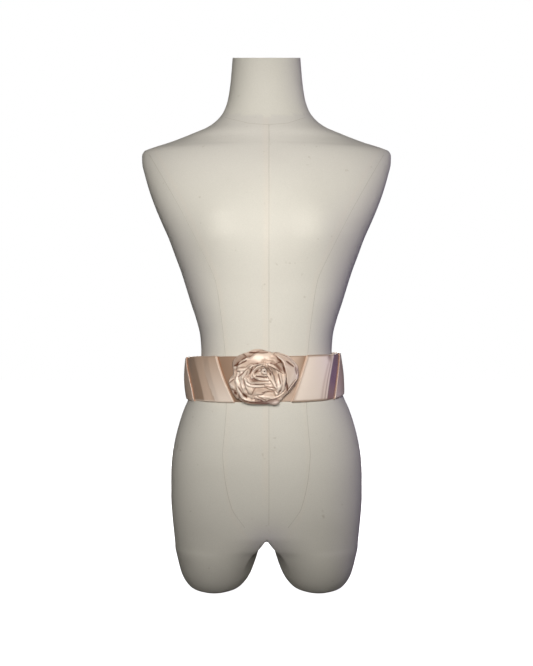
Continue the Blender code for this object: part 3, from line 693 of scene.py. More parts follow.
def makeSeams():
    # thin raised threads: a flat ellipse, half of it under the surface, swept along the form
    paths = []

    def follow(xz, facing):
        step = np.hypot(*np.diff(xz, axis=0).T)
        along = np.concatenate([[0], np.cumsum(step)])
        at = np.linspace(0, along[-1], form["seamPoints"])
        x, z = smoothThrough(along, xz[:, 0], at), np.interp(at, along, xz[:, 1])
        x = np.interp(at, along, xz[:, 0]) * 0.35 + x * 0.65
        low, eye = formSections[0, 0], view["cameraHeight"]
        turn, height = frontTurn(x, np.maximum(z, low), facing), np.maximum(z, low)
        for _ in range(5 if facing > 0 else 0):
            # the front's points lie on the camera's lines of sight
            near = 1 + (formPoint(turn, height)[:, 1] - axisY) / view["cameraDistance"]
            height = np.maximum(eye + (z - eye) * near, low)
            turn = frontTurn(x * near, height, facing)
        paths.append((turn, height))

    for facing in (1, -1):
        for mirror in (1, -1):
            follow(sideSeam[:-1] * (mirror, 1), facing)
        follow(neckSeam, facing)
        follow(centreSeam, facing)
    points, faces, count = [], [], 0
    around, nudge = form["seamSides"], 1e-3
    angle = 2 * math.pi * np.arange(around) / around
    for turn, z in paths:
        spine = formPoint(turn, z)
        aside = formPoint(turn + nudge, z) - formPoint(turn - nudge, z)
        upward = formPoint(turn, z + nudge) - formPoint(turn, z - nudge)
        normal = unitVectors(np.cross(aside, upward))
        across = unitVectors(np.cross(np.gradient(spine, axis=0), normal))
        ring = (
            spine[:, None]
            + across[:, None] * (form["seamWidth"] * np.cos(angle))[None, :, None]
            + normal[:, None] * (form["seamRise"] * np.sin(angle))[None, :, None]
        )
        rows = len(spine)
        points.append(ring.reshape(-1, 3))
        faces.append(gridQuads(rows, around, count, wrap=True))
        first, last = count + np.arange(around), count + (rows - 1) * around + np.arange(around)
        for ends in (first, last):
            faces.append(np.array([ends[[0, 1, 2, 3]], ends[[0, 3, 4, 7]], ends[[4, 5, 6, 7]]]))
        count += rows * around
    return makePiece("formSeams", np.concatenate(points), np.concatenate(faces), seamMaterial)


makeSeams()
print("form seams laid")


# The belt, in the part's own sizes
belt = {
    "wall": 0.0018,
    "seamGap": 0.0003,
    "height": 0.069,
    "bulge": 0.0027,
    "flare": 1.6,
    "roundness": 2.1,
    "rest": 0.0007,
    "topHalfWidth": 0.1245,
    "topFront": 0.101,
    "topBack": 0.100,
    "topShift": -0.0055,
    "foldRise": 0.0024,
    "frontUnderlap": 0.012,
    "backLap": 0.018,
    "lipReach": 0.0012,
    "hookGap": 0.0008,
    "rows": 44,
    "hemSoft": 0.018,  # share of the height over which a hem thins
    # width of the painted light and shade along the hems
    "hemBand": 0.022,
    "ripple": 0.00028,
    "pinchArc": 0.120,
    "pinchHalf": 0.0065,
    "pinchDepth": 0.0012,
    # the right wing's painted shade lines beside its break, where small pleats would be: from the break,
    # half width, strength; then their painted shade and painted plum shade, and the painted shade beside
    # each lip
    "pleatShadows": ((0.0045, 0.0016, 1.0), (0.011, 0.0026, 0.5)),  # from the break, half width, strength
    "lipHalf": 0.0026,
    "pleatShade": 0.14,
    "pleatPlumShade": 0.16,
    "lipShade": 0.30,
}
# the two hems' heights by turn in degrees: turn, bottom, top
beltHems = np.array([
    (0, 0.3245, 0.3900), (45, 0.3178, 0.3878), (70, 0.3166, 0.3868), (110, 0.3158, 0.3864),
    (140, 0.3155, 0.3852), (180, 0.3152, 0.3823), (225, 0.3165, 0.3828), (270, 0.3195, 0.3858),
    (315, 0.3225, 0.3888), (360, 0.3245, 0.3900),
])
# fold edges as arc lengths from the centre front at the top and bottom hems, and their bow towards
# the front at mid height; where the cloth breaks on its way to the next fold, at both hems; painted
# shade of the near strip at the top and bottom, and of the strip past the break; painted plum shade
# of that strip and of the near one; the lip's painted shadow line and the painted highlight on its outer
# side
leftFolds = [
    (0.0757, 0.0480, 0.0000, 0.58, 0.66, 0.50, 0.02, 0.70, 0.00, 0.00, 0.80, 0.60),
    (0.1600, 0.1270, 0.0080, 0.62, 0.62, 0.12, 0.14, 0.55, 0.00, 0.05, 0.85, 0.85),
    (0.2460, 0.2170, 0.0040, 0.52, 0.52, 0.35, 0.35, 0.55, 0.00, 0.00, 0.40, 0.40),
    (0.3220, 0.2960, 0.0000, 0.60, 0.60, 0.35, 0.35, 0.50, 0.00, 0.00, 0.40, 0.40),
]
rightFolds = [
    (0.0734, 0.0393, 0.0000, 0.68, 0.76, 0.04, 0.02, 0.15, 0.92, 0.00, 0.20, 0.15),
    (0.1600, 0.1190, 0.0050, 0.55, 0.55, 0.12, 0.00, 0.40, 0.45, 0.30, 0.55, 0.60),
    (0.2430, 0.2120, 0.0030, 0.62, 0.62, 0.30, 0.30, 0.45, 0.10, 0.10, 0.40, 0.40),
    (0.3200, 0.2920, 0.0000, 0.54, 0.54, 0.30, 0.30, 0.45, 0.00, 0.00, 0.40, 0.40),
]


def beltBase(turn, rise):
    # the belt's inner face: its hem rests on the hip, its top is a rounded rectangle that stands
    # off the waist, and it eases from one to the other with a slight outward bulge
    degrees = np.degrees(turn) % 360
    cell = np.clip(np.searchsorted(beltHems[:, 0], degrees, side="right") - 1, 0, len(beltHems) - 2)
    share = (degrees - beltHems[cell, 0]) / (beltHems[cell + 1, 0] - beltHems[cell, 0])
    share = (share * share * (3 - 2 * share))[..., None]
    hems = beltHems[cell, 1:] + (beltHems[cell + 1, 1:] - beltHems[cell, 1:]) * share
    bottom, top = hems[..., 0], hems[..., 1]
    lower = formPoint(turn, bottom)
    lowerX, lowerY = lower[..., 0], lower[..., 1] - axisY
    standOff = 1 + belt["rest"] / np.hypot(lowerX, lowerY)
    across, along = np.cos(turn), np.sin(turn)
    power = 2 / belt["roundness"]
    upperX = belt["topHalfWidth"] * np.sign(across) * np.abs(across) ** power + belt["topShift"]
    depth = np.where(along > 0, belt["topFront"], belt["topBack"])
    upperY = -depth * np.sign(along) * np.abs(along) ** power
    ease = 1 - np.maximum(1 - rise, 0) ** belt["flare"]
    bulge = 1 + belt["bulge"] * 4 * rise * (1 - rise) / belt["topHalfWidth"]
    x = (lowerX * standOff + (upperX - lowerX * standOff) * ease) * bulge
    y = (lowerY * standOff + (upperY - lowerY * standOff) * ease) * bulge
    return np.stack([x, y + axisY, bottom + (top - bottom) * rise], axis=-1)


beltTurns = math.pi / 2 - np.linspace(-math.pi, math.pi, 1441)
beltMiddle = beltBase(beltTurns, np.full_like(beltTurns, 0.5))
beltArc = np.concatenate([[0.0], np.cumsum(np.hypot(*np.diff(beltMiddle[:, :2], axis=0).T))])
beltHalf = beltArc[-1] / 2
beltArc = beltArc - beltHalf


def beltPoint(arc, rise, out):
    # a point at an arc length from the centre front and a share of the height, moved outwards
    turn = np.interp((arc + beltHalf) % (2 * beltHalf) - beltHalf, beltArc, beltTurns)
    here = beltBase(turn, rise)
    along = unitVectors((beltBase(turn - 0.002, rise) - beltBase(turn + 0.002, rise))[..., :2])
    here[..., 0] += along[..., 1] * out
    here[..., 1] -= along[..., 0] * out
    return here


def softNoise(u, v, seed, waves=7):
    # a few crossed sine waves with seeded lengths and phases, from -1 to 1
    draw = np.random.default_rng(seed)
    total = np.zeros(np.broadcast(u, v).shape)
    for _ in range(waves):
        angle, length = draw.uniform(0, math.pi), draw.uniform(0.6, 2.2)
        wave = np.cos(angle) * u + np.sin(angle) * v
        total += np.sin(wave * 2 * math.pi / length + draw.uniform(0, 2 * math.pi))
    return total / waves


def foldProfile(crease):
    # one fold from its lip to the next one: share along it, height, arc shift in metres, how far
    # the column belongs to the lip's inner face, painted in shade, and to its painted shadow line
    lip, reach = belt["foldRise"], belt["lipReach"]
    head = [
        (0.000, 0.10, reach * 1.00, 1.0, 1.0),
        (0.000, 0.38, reach * 0.55, 1.0, 1.0),
        (0.000, 0.55, -reach * 0.05, 0.8, 0.9),
        (0.000, 0.80, -reach * 0.42, 0.2, 0.35),
        (0.001, 1.02, -reach * 0.30, 0.0, 0.0),
        (0.006, 1.12, 0.0, 0.0, 0.0),
        (0.016, 1.13, 0.0, 0.0, 0.0),
        (0.032, 1.04, 0.0, 0.0, 0.0),
        (0.060, 0.98, 0.0, 0.0, 0.0),
    ]
    at = np.linspace(0.09, 0.985, 44)
    knownAt = [0.09, 0.3, crease - 0.05, crease, crease + 0.03, 0.93, 1.0]
    heights = np.interp(at, knownAt, [0.95, 0.86, 0.78, 0.74, 0.60, 0.10, 0.06])
    body = np.stack([at, heights, 0 * at, 0 * at, 0 * at], axis=-1)
    rows = np.concatenate([np.array(head), body])
    return rows[:, 0], rows[:, 1] * lip, rows[:, 2], rows[:, 3], rows[:, 4]


def breakArc(fold, following, rise):
    # where the cloth breaks between two folds
    top = fold[0] + (following[0] - fold[0]) * fold[3]
    bottom = fold[1] + (following[1] - fold[1]) * fold[4]
    bow = fold[2] + (following[2] - fold[2]) * fold[4]
    return bottom + (top - bottom) * rise - bow * 4 * rise * (1 - rise)


def makeWing(name, side, folds, node, overLap):
    end = beltHalf + belt["backLap"]
    edges = folds + [(beltHalf - 0.020, beltHalf - 0.020, 0.0)]
    columns = []
    for fold, following in zip(edges, edges[1:]):
        breakTop, breakBottom, topShade, bottomShade, farShade, farPlumShade, nearPlumShade = fold[3:10]
        share, height, shift, inside, line = foldProfile(breakBottom)
        topShare = np.interp(share, [0, breakBottom, 1], [0, breakTop, 1])
        top = fold[0] + (following[0] - fold[0]) * topShare
        bottom = fold[1] + (following[1] - fold[1]) * share
        bow = fold[2] + (following[2] - fold[2]) * share
        far = unit((share - breakBottom) / 0.02)
        keep = 1 - inside
        # painted shade on the near strip and past the break, with the lip's inner face in shade; painted
        # plum shade on both strips; a painted orange-brown shadow line along the lip and a painted
        # highlight on its outer side
        upper = (topShade * (1 - far) + farShade * far) * keep + 0.6 * inside
        lower = (bottomShade * (1 - far) + farShade * far) * keep + 0.6 * inside
        plum = (nearPlumShade * (1 - far) + farPlumShade * far) * keep
        lipHighlight = fold[11] * bell(share, 0.004, 0.007) * (height > 0.7 * belt["foldRise"])
        rims = [line * fold[10], lipHighlight]
        columns.append(np.stack([top, bottom, bow, height, shift, upper, lower, plum, *rims]))
    lapArcs, none = np.linspace(beltHalf - 0.0195, end, 22), np.zeros(22)
    lapRise = belt["foldRise"] * np.linspace(0.06, 0.0, 22)
    # the back lap, in painted shade
    lap = [lapArcs, lapArcs, none, lapRise, none, none + 0.3, none + 0.3, none, none, none]
    columns.append(np.stack(lap))
    profile = np.concatenate(columns, axis=1)
    tops, bottoms, bows, heights, shifts, upper, lower, plum, line, lipHighlight = profile
    rows = belt["rows"]
    rise = np.linspace(0, 1, rows)[:, None] * np.ones(len(tops))
    arc = bottoms + (tops - bottoms) * rise - bows * 4 * rise * (1 - rise) + shifts
    past = arc - (folds[0][1] + (folds[0][0] - folds[0][1]) * rise)
    # over the front panel's tucked end the wing stands higher; on the left it drops at a crease
    drop, ease = (0.0230 - 0.0085 * rise, 0.012) if side < 0 else (0.016 + 0 * rise, 0.045)
    raised = (belt["wall"] + belt["seamGap"]) * unit((drop + ease - past) / ease)
    lapRaise = belt["wall"] + 2 * belt["seamGap"] + belt["hookGap"] if overLap else 0.0
    beforeLap = unit((arc - (beltHalf - belt["backLap"] - 0.014)) / 0.012)
    raised = raised + lapRaise * beforeLap
    proud = heights * (1 - 0.9 * beforeLap)
    ripple = softNoise(arc * 22, rise * 2.2, 11 if side > 0 else 23)
    proud = proud + belt["ripple"] * ripple * unit((arc - folds[0][1]) / 0.01) * (1 - beforeLap)
    # a pinch in the right wing's upper hem, a dent that is also painted in shade
    fromPinch = (arc - belt["pinchArc"]) / belt["pinchHalf"]
    pinch = np.exp(-(fromPinch**2) - ((1 - rise) / 0.13) ** 2) * (side > 0)
    hem = np.exp(-np.minimum(rise, 1 - rise) / belt["hemSoft"])
    proud = np.maximum(proud - 0.00035 * hem - belt["pinchDepth"] * pinch, 0.0)
    outer = beltPoint(side * arc, rise, raised + belt["wall"] + proud)
    inner = beltPoint(side * arc, rise, raised)
    uv = np.stack([rise * belt["height"] + arc * 0.42, arc - rise * 0.03], axis=-1)
    points, quads, uv = clothWall(outer, inner, uv)
    wing = makePiece(name, points, quads, satinMaterial, [node], uv=uv)
    # where the painted light and shade along the hems falls; the painted shade runs from its bottom
    # value to its top one
    lowHem, highHem = bell(rise, 0, belt["hemBand"]), bell(1 - rise, 0, belt["hemBand"])
    shade = lower + (upper - lower) * rise
    plum = plum * np.ones_like(rise)
    if side > 0:
        # painted highlight up to the break, with painted shade and plum shade along pleat lines beside
        # it and painted shade beside the lip; its far strip takes a painted reddish shade lower down
        bright = unit(shade < 0.11) * (plum < 0.2)
        ahead = breakArc(folds[0], folds[1], rise) - arc
        pleatShadows = sum(strength * bell(ahead * bright, at, half) for at, half, strength in belt["pleatShadows"])
        pleatShadows = pleatShadows * unit((0.95 - rise) * 6) * bright
        lipShadow = bell(past, 0, belt["lipHalf"])
        glow = bright * (1 - pleatShadows) * (1 - lipShadow)
        shade = np.maximum(np.maximum(shade, belt["lipShade"] * lipShadow), belt["pleatShade"] * pleatShadows)
        plum = np.maximum(plum, belt["pleatPlumShade"] * pleatShadows)
        reddishShade = (plum > 0.6) * np.clip(0.55 - rise + 12 * ahead, 0, 0.5)
        shade, plum = np.maximum(shade, 1.3 * reddishShade), plum * (1 - 0.9 * reddishShade)
        line = np.maximum(line, 0.35 * reddishShade)
        # painted shade along both hems and in the pinch, where the painted highlight stops
        hems = np.maximum(lowHem, highHem)
        shade = np.maximum(shade, np.maximum(0.75 * pinch, 0.6 * hems))
        glow = glow * (1 - np.maximum(pinch, hems))
        # a painted highlight low on the strip past the second fold
        beyond = (arc > np.interp(rise, [0, 1], [folds[1][1], folds[1][0]]) - 0.004) * (past < 0.13)
        glow = np.maximum(glow, 0.75 * beyond * unit(1 - rise / 0.35))
    else:
        # painted highlight along the bottom hem and on the 30 mm past the first lip, stronger towards
        # the bottom; painted shade along the top hem
        glow = 0.85 * lowHem * (past < 0.09)
        glow = np.maximum(glow, 0.95 * unit(1 - rise / 1.05) * (past < 0.030))
        shade = np.maximum(shade * (1 - 0.9 * lowHem), 0.55 * highHem)
    glow = np.maximum(glow, lipHighlight)
    line = line * np.ones_like(rise)
    paint(wing, 1, glow=glow, shade=shade * (1 - lipHighlight), plum=plum * (1 - lipHighlight), edge=line)
    return wing


def makeFrontPanel():
    columns, rows = 150, belt["rows"]
    left, right, under = leftFolds[0], rightFolds[0], belt["frontUnderlap"]
    share = np.linspace(0, 1, columns)
    top = -(left[0] + under) + share * (left[0] + right[0] + 2 * under)
    bottom = -(left[1] + under) + share * (left[1] + right[1] + 2 * under)
    rise = np.linspace(0, 1, rows)[:, None] * np.ones(columns)
    arc = bottom + (top - bottom) * rise
    sag = 0.00018 * softNoise(arc * 30, rise * 2.5, 5)
    hem = np.exp(-np.minimum(rise, 1 - rise) / belt["hemSoft"])
    outer = beltPoint(arc, rise, belt["wall"] - 0.0002 + sag - 0.0003 * hem)
    inner = beltPoint(arc, rise, np.zeros_like(arc))
    uv = np.stack([rise * belt["height"], arc], axis=-1)
    points, quads, uv = clothWall(outer, inner, uv)
    panel = makePiece("frontPanel", points, quads, satinMaterial, ["belt_front"], uv=uv)
    # painted shade: the left end is in shade, the right end darkens towards the fold's upper half, and
    # the top hem is darker; a painted orange-brown shadow line runs beside each fold
    fromLeft = arc + left[1] + (left[0] - left[1]) * rise
    fromRight = right[1] + (right[0] - right[1]) * rise - arc
    shade = np.where(arc < 0, 0.86, 0.22 + 0.5 * rise * bell(fromRight, 0, 0.012))
    shade = np.maximum(shade, 0.7 * bell(1 - rise, 0, 0.025))
    line = 0.75 * bell(fromLeft, 0.0014, 0.0010) * unit(0.25 + rise)
    line = line + 0.35 * bell(fromRight, 0.0014, 0.0010) * unit(rise - 0.1)
    paint(panel, 1, shade=shade, edge=line)
    return panel


makeWing("rightWing", 1, rightFolds, "belt_right", False)
makeWing("leftWing", -1, leftFolds, "belt_left", True)
makeFrontPanel()
print("belt: front panel and two wings")


# The rose: a wound strip of doubled satin, in the part's own sizes
rose = {
    "heartX": -0.0033,
    "heartZ": 0.3654,
    "crown": 0.0250,
    "edge": 0.0078,
    "dome": 1.5,
    "wall": 0.0014,
    "lap": 0.0024,
    "margin": 0.0034,
    "slope": 0.6,
    "tuck": 0.62,
    "clearing": 0.0049,
    "tilts": (0.0044, 0.0044, 0.0040, 0.0030, 0.0012),
    "deep": 30,
    "curl": 0.0009,
    "rimFrom": 0.80,
    "rimSpan": 0.20,
    "edgeSpan": 0.22,
    "rimSwell": 0.0004,
    "ripple": 0.00030,
    "gather": 0.00016,
    "ridge": 0.0007,
    "hollow": 0.0011,
    "rootReach": 0.78,
    "rootEdge": 0.0012,
    "strokePlane": 1480,  # mm from the camera
    "softRoof": 0.0003,
    # how far the painted shade of a crevice reaches, and how much that wanders
    "slit": 0.0026,
    "slitWander": 0.0018,
    "ripplePitch": 0.011,
    "gatherPitch": 0.0045,
    "patchPitch": 0.008,
    "budFoot": 0.0035,
    "budTop": 0.0055,
    "budTurns": 1.8,
    "budCentre": 0.0012,
    "budSpread": 0.0028,
    "budFaces": (0.0005, -0.0009),
    "budLean": 0.0010,
}
# the outline about the heart: angle in degrees, radius
roseOutline = np.array([
    (8, 0.0521), (17, 0.0481), (31, 0.0443), (46, 0.0371), (66, 0.0302), (85, 0.0305),
    (116, 0.0358), (133, 0.0378), (151, 0.0461), (164, 0.0503), (176, 0.0485), (187, 0.0490),
    (199, 0.0585), (214, 0.0610), (225, 0.0605), (239, 0.0578), (258, 0.0536), (278, 0.0525),
    (287, 0.0560), (297, 0.0552), (309, 0.0531), (322, 0.0525), (351, 0.0536),
])
# turn by turn: node without its first word, angles along the rim, the rim in hundredths of the
# outline, and the painted light at each angle in tenths, shade above 0 and highlight below it
petalRows = [
    [
        ("heart_right", (-56, -46, -37, -18, 0, 31, 74), (62, 53, 38, 23, 19, 20, 25),
         (-5, -5, -2, 2, 3, 2, -3)),
        ("heart_cup", (196, 233, 287, 325), (25, 18, 17, 22), (0, -7, -7, -2)),
        ("heart_low", (196, 237, 273, 318), (32, 28, 28, 32), (-1, -5, -6, -5)),
        ("heart_left", (60, 119, 159, 186, 212), (27, 27, 28, 37, 38), (-1, -6, -4, 0, -5)),
    ],
    [
        ("inner_right", (-58, -48, -34, -20, 0, 27, 72), (74, 70, 62, 51, 42, 37, 40),
         (-5, -7, -6, -1, 2, -1, -5)),
        ("inner_top", (56, 94, 132, 170), (42, 37, 36, 48), (-2, -3, 4, -3)),
        ("inner_low", (204, 215, 229, 252, 278, 314), (49, 48, 44, 39, 37, 42), (2, 6, 7, 4, -1, -3)),
        ("inner_under", (200, 217, 228, 250, 268, 287, 306), (56, 56, 53, 48, 46, 52, 66),
         (-5, -7, -7, -5, -4, -5, -5)),
        ("inner_left", (152, 174, 190, 207, 227, 240), (46, 57, 66, 59, 66, 72), (-5, 2, -5, -6, -3, 2)),
    ],
    [
        ("middle_right", (-64, -47, -33, -13, 5, 26), (76, 80, 72, 64, 60, 60), (-4, -7, -6, -2, 6, 6)),
        ("middle_top", (12, 38, 73, 108, 142, 180), (80, 90, 96, 84, 76, 86), (7, 5.5, -1, -2, 5, -3)),
        ("middle_low", (232, 241, 260, 284, 304, 314), (75, 74, 68, 58, 67, 72), (1, 3, 3.5, 3, -1, -2)),
        ("middle_left", (164, 189, 204, 218, 231, 248), (80, 75, 67, 70, 78, 82),
         (-7, -8, -4, -5, -2, 2)),
    ],
    [
        ("outer_low", (238, 246, 261, 272, 286, 300, 312), (80, 80, 83, 88, 81, 84, 88),
         (-1, -2, -4, -3, -2, -1, 1)),
        ("outer_left", (184, 195, 206, 221, 234, 252), (87, 82, 81, 87, 93, 92),
         (-3, -6, -5, -6, -3, 2)),
    ],
    [
        ("edge_right", (-14, 12, 36, 62), (100, 98, 97, 100), (-2, -3, -3, -3)),
        ("edge_top", (50, 80, 110, 140), (100, 98, 100, 100), (1, 3, 3.5, 3)),
        ("edge_corner", (126, 148, 170, 192), (97, 100, 100, 95), (5.5, 7, 7, 1)),
        ("edge_leaf", (180, 195, 211, 226), (94, 100, 97, 100), (1, -3, 0, 5)),
        ("edge_low", (214, 241, 267, 294), (96, 100, 98, 100), (6, 7, 6, 4)),
        ("edge_tip", (282, 306, 330, 354), (100, 94, 98, 100), (1, -3, 7, 6)),
    ],
]
turnedRow = ("outer_right", (-44, -30, -9, 10, 35, 57), (95, 96, 98, 92, 90, 94), (-4, -6, -6, -2, 1, 0))
turnedEdge = (0.9, 0.76, 0.65, 0.62, 0.72, 0.87)
turnedLift, turnedOver = 0.0052, 2


def readPetal(name, angles, rims, lightTones):
    return "rose_" + name, angles, np.array(rims) / 100, np.array(lightTones) / 10


petalTurns = [[readPetal(*petal) for petal in turn] for turn in petalRows]
turnedPetal = readPetal(*turnedRow)


def roseRadius(angle):
    return np.interp(angle, roseOutline[:, 0], roseOutline[:, 1], period=360)


# creases laid in the rose's cloth, in mm on a plane 1.48 m from the camera, about its
# axis: from, to (across, up), half width, depth; then the ridges between them in the same way
# each crease is pressed into the cloth and painted in shade; each ridge is raised and painted as a
# highlight
roseHollows = [
    (-26, -30, -12.5, -30.5, 1.2, 1), (-12.5, -30.5, 2, -30, 1.2, 0.9),
    (-49, -50, -40.5, -47.5, 1.2, 1), (-40.5, -47.5, -31, -42.5, 1.2, 0.9),
    (-44, -54, -32, -52.5, 1.2, 0.6), (-49, -90.5, -46.5, -94, 2, 1.2),
    (-36.5, -93, -30.5, -98.5, 2, 1.2), (16.5, -39, 25, -46, 1.2, 0.9), (25, -46, 28.5, -62, 1.4, 1),
    (31, -77, 32.5, -89, 1.6, 1.1), (19, -90.5, 22, -88.5, 1.6, 1.1), (31, -43.5, 41.5, -51.5, 1.6, 1),
    (5.5, -61.5, 6.5, -64.5, 1.4, 1.1), (-16, -66.5, 0.5, -68, 1.2, 1), (-18, -62, -13, -57, 2, 0.9),
    (-21, -52.5, -26, -63, 1.2, 1), (-35, -60.5, -43.5, -67.5, 1.2, 0.9),
    (-25, -51.5, -34.5, -59.5, 0.8, 0.7), (18, -63, 22, -78.5, 1.2, 0.9),
    (-3.5, -81, 13, -84.5, 1, 0.8), (-25, -79, -3, -79.5, 0.8, 0.9), (-13.5, -98, -1, -103.5, 1.2, 0.8),
    (-55, -85.5, -47.5, -89, 1.2, 0.9), (49.5, -69, 32.5, -92, 0.8, 1), (45, -71, 30, -90.5, 0.8, 0.9),
    (-57.5, -77, -50.5, -71, 1.2, 0.7), (-44, -82.5, -36.5, -93.5, 1.2, 0.9),
    (-35.5, -70, -32.5, -82.5, 0.8, 0.8), (-32.5, -82.5, -27.5, -95, 0.8, 0.8),
    (44, -52.5, 46.5, -63, 1.2, 0.8), (-9, -103, 5, -100.5, 0.8, 0.6),
    (-32, -66, -28.5, -58.5, 0.8, 0.7), (1.5, -49, 25.5, -62.5, 0.8, 0.9),
    (1.5, -51.5, 10.5, -65, 0.8, 0.8), (10.5, -65, 16, -82.5, 0.8, 0.8),
    (-26.5, -106.5, 3.5, -108.5, 2, 0.5), (0.5, -52.5, 14, -56, 1.2, 0.3), (14, -49, 23.5, -58, 3, 0.4),
    (-25, -70, -14, -72, 3.5, 0.35), (-7, -91.5, 13, -88.5, 0.8, 0.7),
    (23.5, -98.5, 31.5, -95.5, 3, 0.45),
]
roseRidges = [
    (-44.5, -66, -33.5, -56, 4, 1), (-51, -53.5, -45, -53, 1.8, 1),
    (-35.5, -43, -27.5, -35.5, 1.4, 0.9), (41.5, -44, 48.5, -50.5, 1.2, 1),
    (28.5, -66.5, 29, -89, 1.2, 1), (17.5, -35.5, 27, -44, 1.2, 1), (27, -44, 32, -63, 0.8, 1),
    (32, -63, 34, -88.5, 0.8, 0.9), (-10.5, -56, -9, -64, 2, 1), (-18, -65.5, 5, -66, 0.8, 1),
    (9.5, -108, 18.5, -106, 2, 1), (36, -81, 41.5, -63, 4.5, 0.75), (31.5, -51, 40.5, -61.5, 3.5, 0.45),
    (-55.5, -80, -50.5, -83.5, 2.5, 0.9), (-45, -84.5, -38.5, -96, 1.4, 1),
    (-39, -66.5, -36.5, -79, 1.4, 1), (-32.5, -72, -25, -77, 1.2, 1), (-25, -77, -3.5, -76.5, 1, 0.9),
    (-28.5, -81.5, -4.5, -83, 1.2, 0.9), (-18, -70, -12.5, -72.5, 0.8, 0.8),
    (-12.5, -72.5, 7, -67.5, 1.2, 0.9), (2.5, -76, 14, -83.5, 2.5, 0.9), (-34, -64, -30, -56, 0.8, 0.9),
    (-30, -56, -21.5, -51, 0.8, 0.9), (-21.5, -51, -3.5, -46.5, 1.2, 0.9),
    (1.5, -48.5, 15, -57, 1, 0.9), (15, -57, 23, -74.5, 0.8, 0.9), (-26, -66.5, -18, -55, 1, 0.9),
    (-18, -55, -7, -51, 0.8, 0.8), (5, -56, 17, -84, 1, 0.9), (47.5, -70, 31, -91.5, 0.8, 1),
    (-21.5, -39.5, 1.5, -36, 5.5, 0.45), (1.5, -93, 17.5, -91.5, 1.2, 0.7),
    (-10.5, -98, 17.5, -96.5, 1.2, 0.5), (-28.5, -95.5, -12.5, -98.5, 1.2, 0.8),
    (-12.5, -98.5, -3, -104.5, 0.8, 0.7), (-7, -56, -4.5, -62.5, 1.2, 0.9),
    (-4.5, -62.5, 2.5, -63, 0.8, 0.9), (14, -84.5, 23.5, -82.5, 1.2, 0.8),
]


def strokeField(strokes, place):
    # the strongest stroke at each place: a soft line from one point to the other
    near = (view["cameraDistance"] + place[..., 1] - axisY) / rose["strokePlane"]
    across, up = place[..., 0] / near, (place[..., 2] - view["cameraHeight"]) / near
    field = np.zeros_like(across)
    for fromX, fromZ, toX, toZ, halfWidth, depth in strokes:
        lengthX, lengthZ = toX - fromX, toZ - fromZ
        share = ((across - fromX) * lengthX + (up - fromZ) * lengthZ) / (lengthX**2 + lengthZ**2)
        share = np.clip(share, 0, 1)
        away = np.hypot(across - fromX - share * lengthX, up - fromZ - share * lengthZ)
        taper = halfWidth * (0.55 + 0.45 * np.sin(math.pi * share))
        field = np.maximum(field, depth * np.exp(-((away / taper) ** 2)))
    return field


def roseGround(reach):
    return rose["edge"] + (rose["crown"] - rose["edge"]) * (1 - reach ** rose["dome"])


frontArcs = np.linspace(-0.09, 0.09, 61)
frontLine = beltPoint(frontArcs, np.full(61, 0.5), np.full(61, belt["wall"]))


def rosePlace(angle, reach, height):
    # points from the angle in degrees, the share of the outline and the height over the belt
    radius, turn = reach * roseRadius(angle), np.radians(angle)
    x = rose["heartX"] + radius * np.cos(turn)
    z = rose["heartZ"] + radius * np.sin(turn)
    return np.stack([x, np.interp(x, frontLine[:, 0], frontLine[:, 1]) - height, z], axis=-1)


def alongPetal(petal, values, share):
    angles = np.array(petal[1], float)
    return smoothThrough((angles - angles[0]) / (angles[-1] - angles[0]), values, share)


def petalRoot(petal, turn):
    # at the petal's angles: under the rims of the turns inside it
    angle = np.array(petal[1], float)
    root = rose["clearing"] / roseRadius(angle)
    for inner in petalTurns[:turn]:
        rim = np.full_like(angle, np.inf)
        for other in inner:
            share = (angle - other[1][0]) % 360 / (other[1][-1] - other[1][0])
            rim = np.where(share <= 1, np.minimum(rim, alongPetal(other, other[2], share)), rim)
        root = np.where(np.isfinite(rim), root + rose["tuck"] * (rim - root), root)
    return root


def underSheet(sheet, angle, reach):
    # at points of the plan: the sheet's height at its nearest place, and how far away that is
    petal, span = sheet["petal"], sheet["span"]
    after = (angle - petal[1][0]) % 360
    before = after > 180 + span / 2
    share = np.where(before, 0.0, np.minimum(after / span, 1.0))
    past = np.where(before, 360 - after, np.maximum(after - span, 0))
    edge, rim = alongPetal(petal, sheet["edge"], share), alongPetal(petal, petal[2], share)
    inside = np.clip(reach, edge, rim)
    radius = roseRadius(angle)
    away = np.hypot(np.radians(past) * reach * radius, (reach - inside) * radius)
    height = sheet["height"]
    rows, columns = height.shape
    r, c = share * (rows - 1), (inside - edge) / (rim - edge) * (columns - 1)
    row = np.clip(r.astype(int), 0, rows - 2)
    column = np.clip(c.astype(int), 0, columns - 2)
    r, c = r - row, c - column
    low = height[row, column] * (1 - c) + height[row, column + 1] * c
    high = height[row + 1, column] * (1 - c) + height[row + 1, column + 1] * c
    return low * (1 - r) + high * r, away


def roofHeight(sheet, angle, reach, clearance):
    height, away = underSheet(sheet, angle, reach)
    return height - clearance + rose["slope"] * np.maximum(away - rose["margin"], 0)


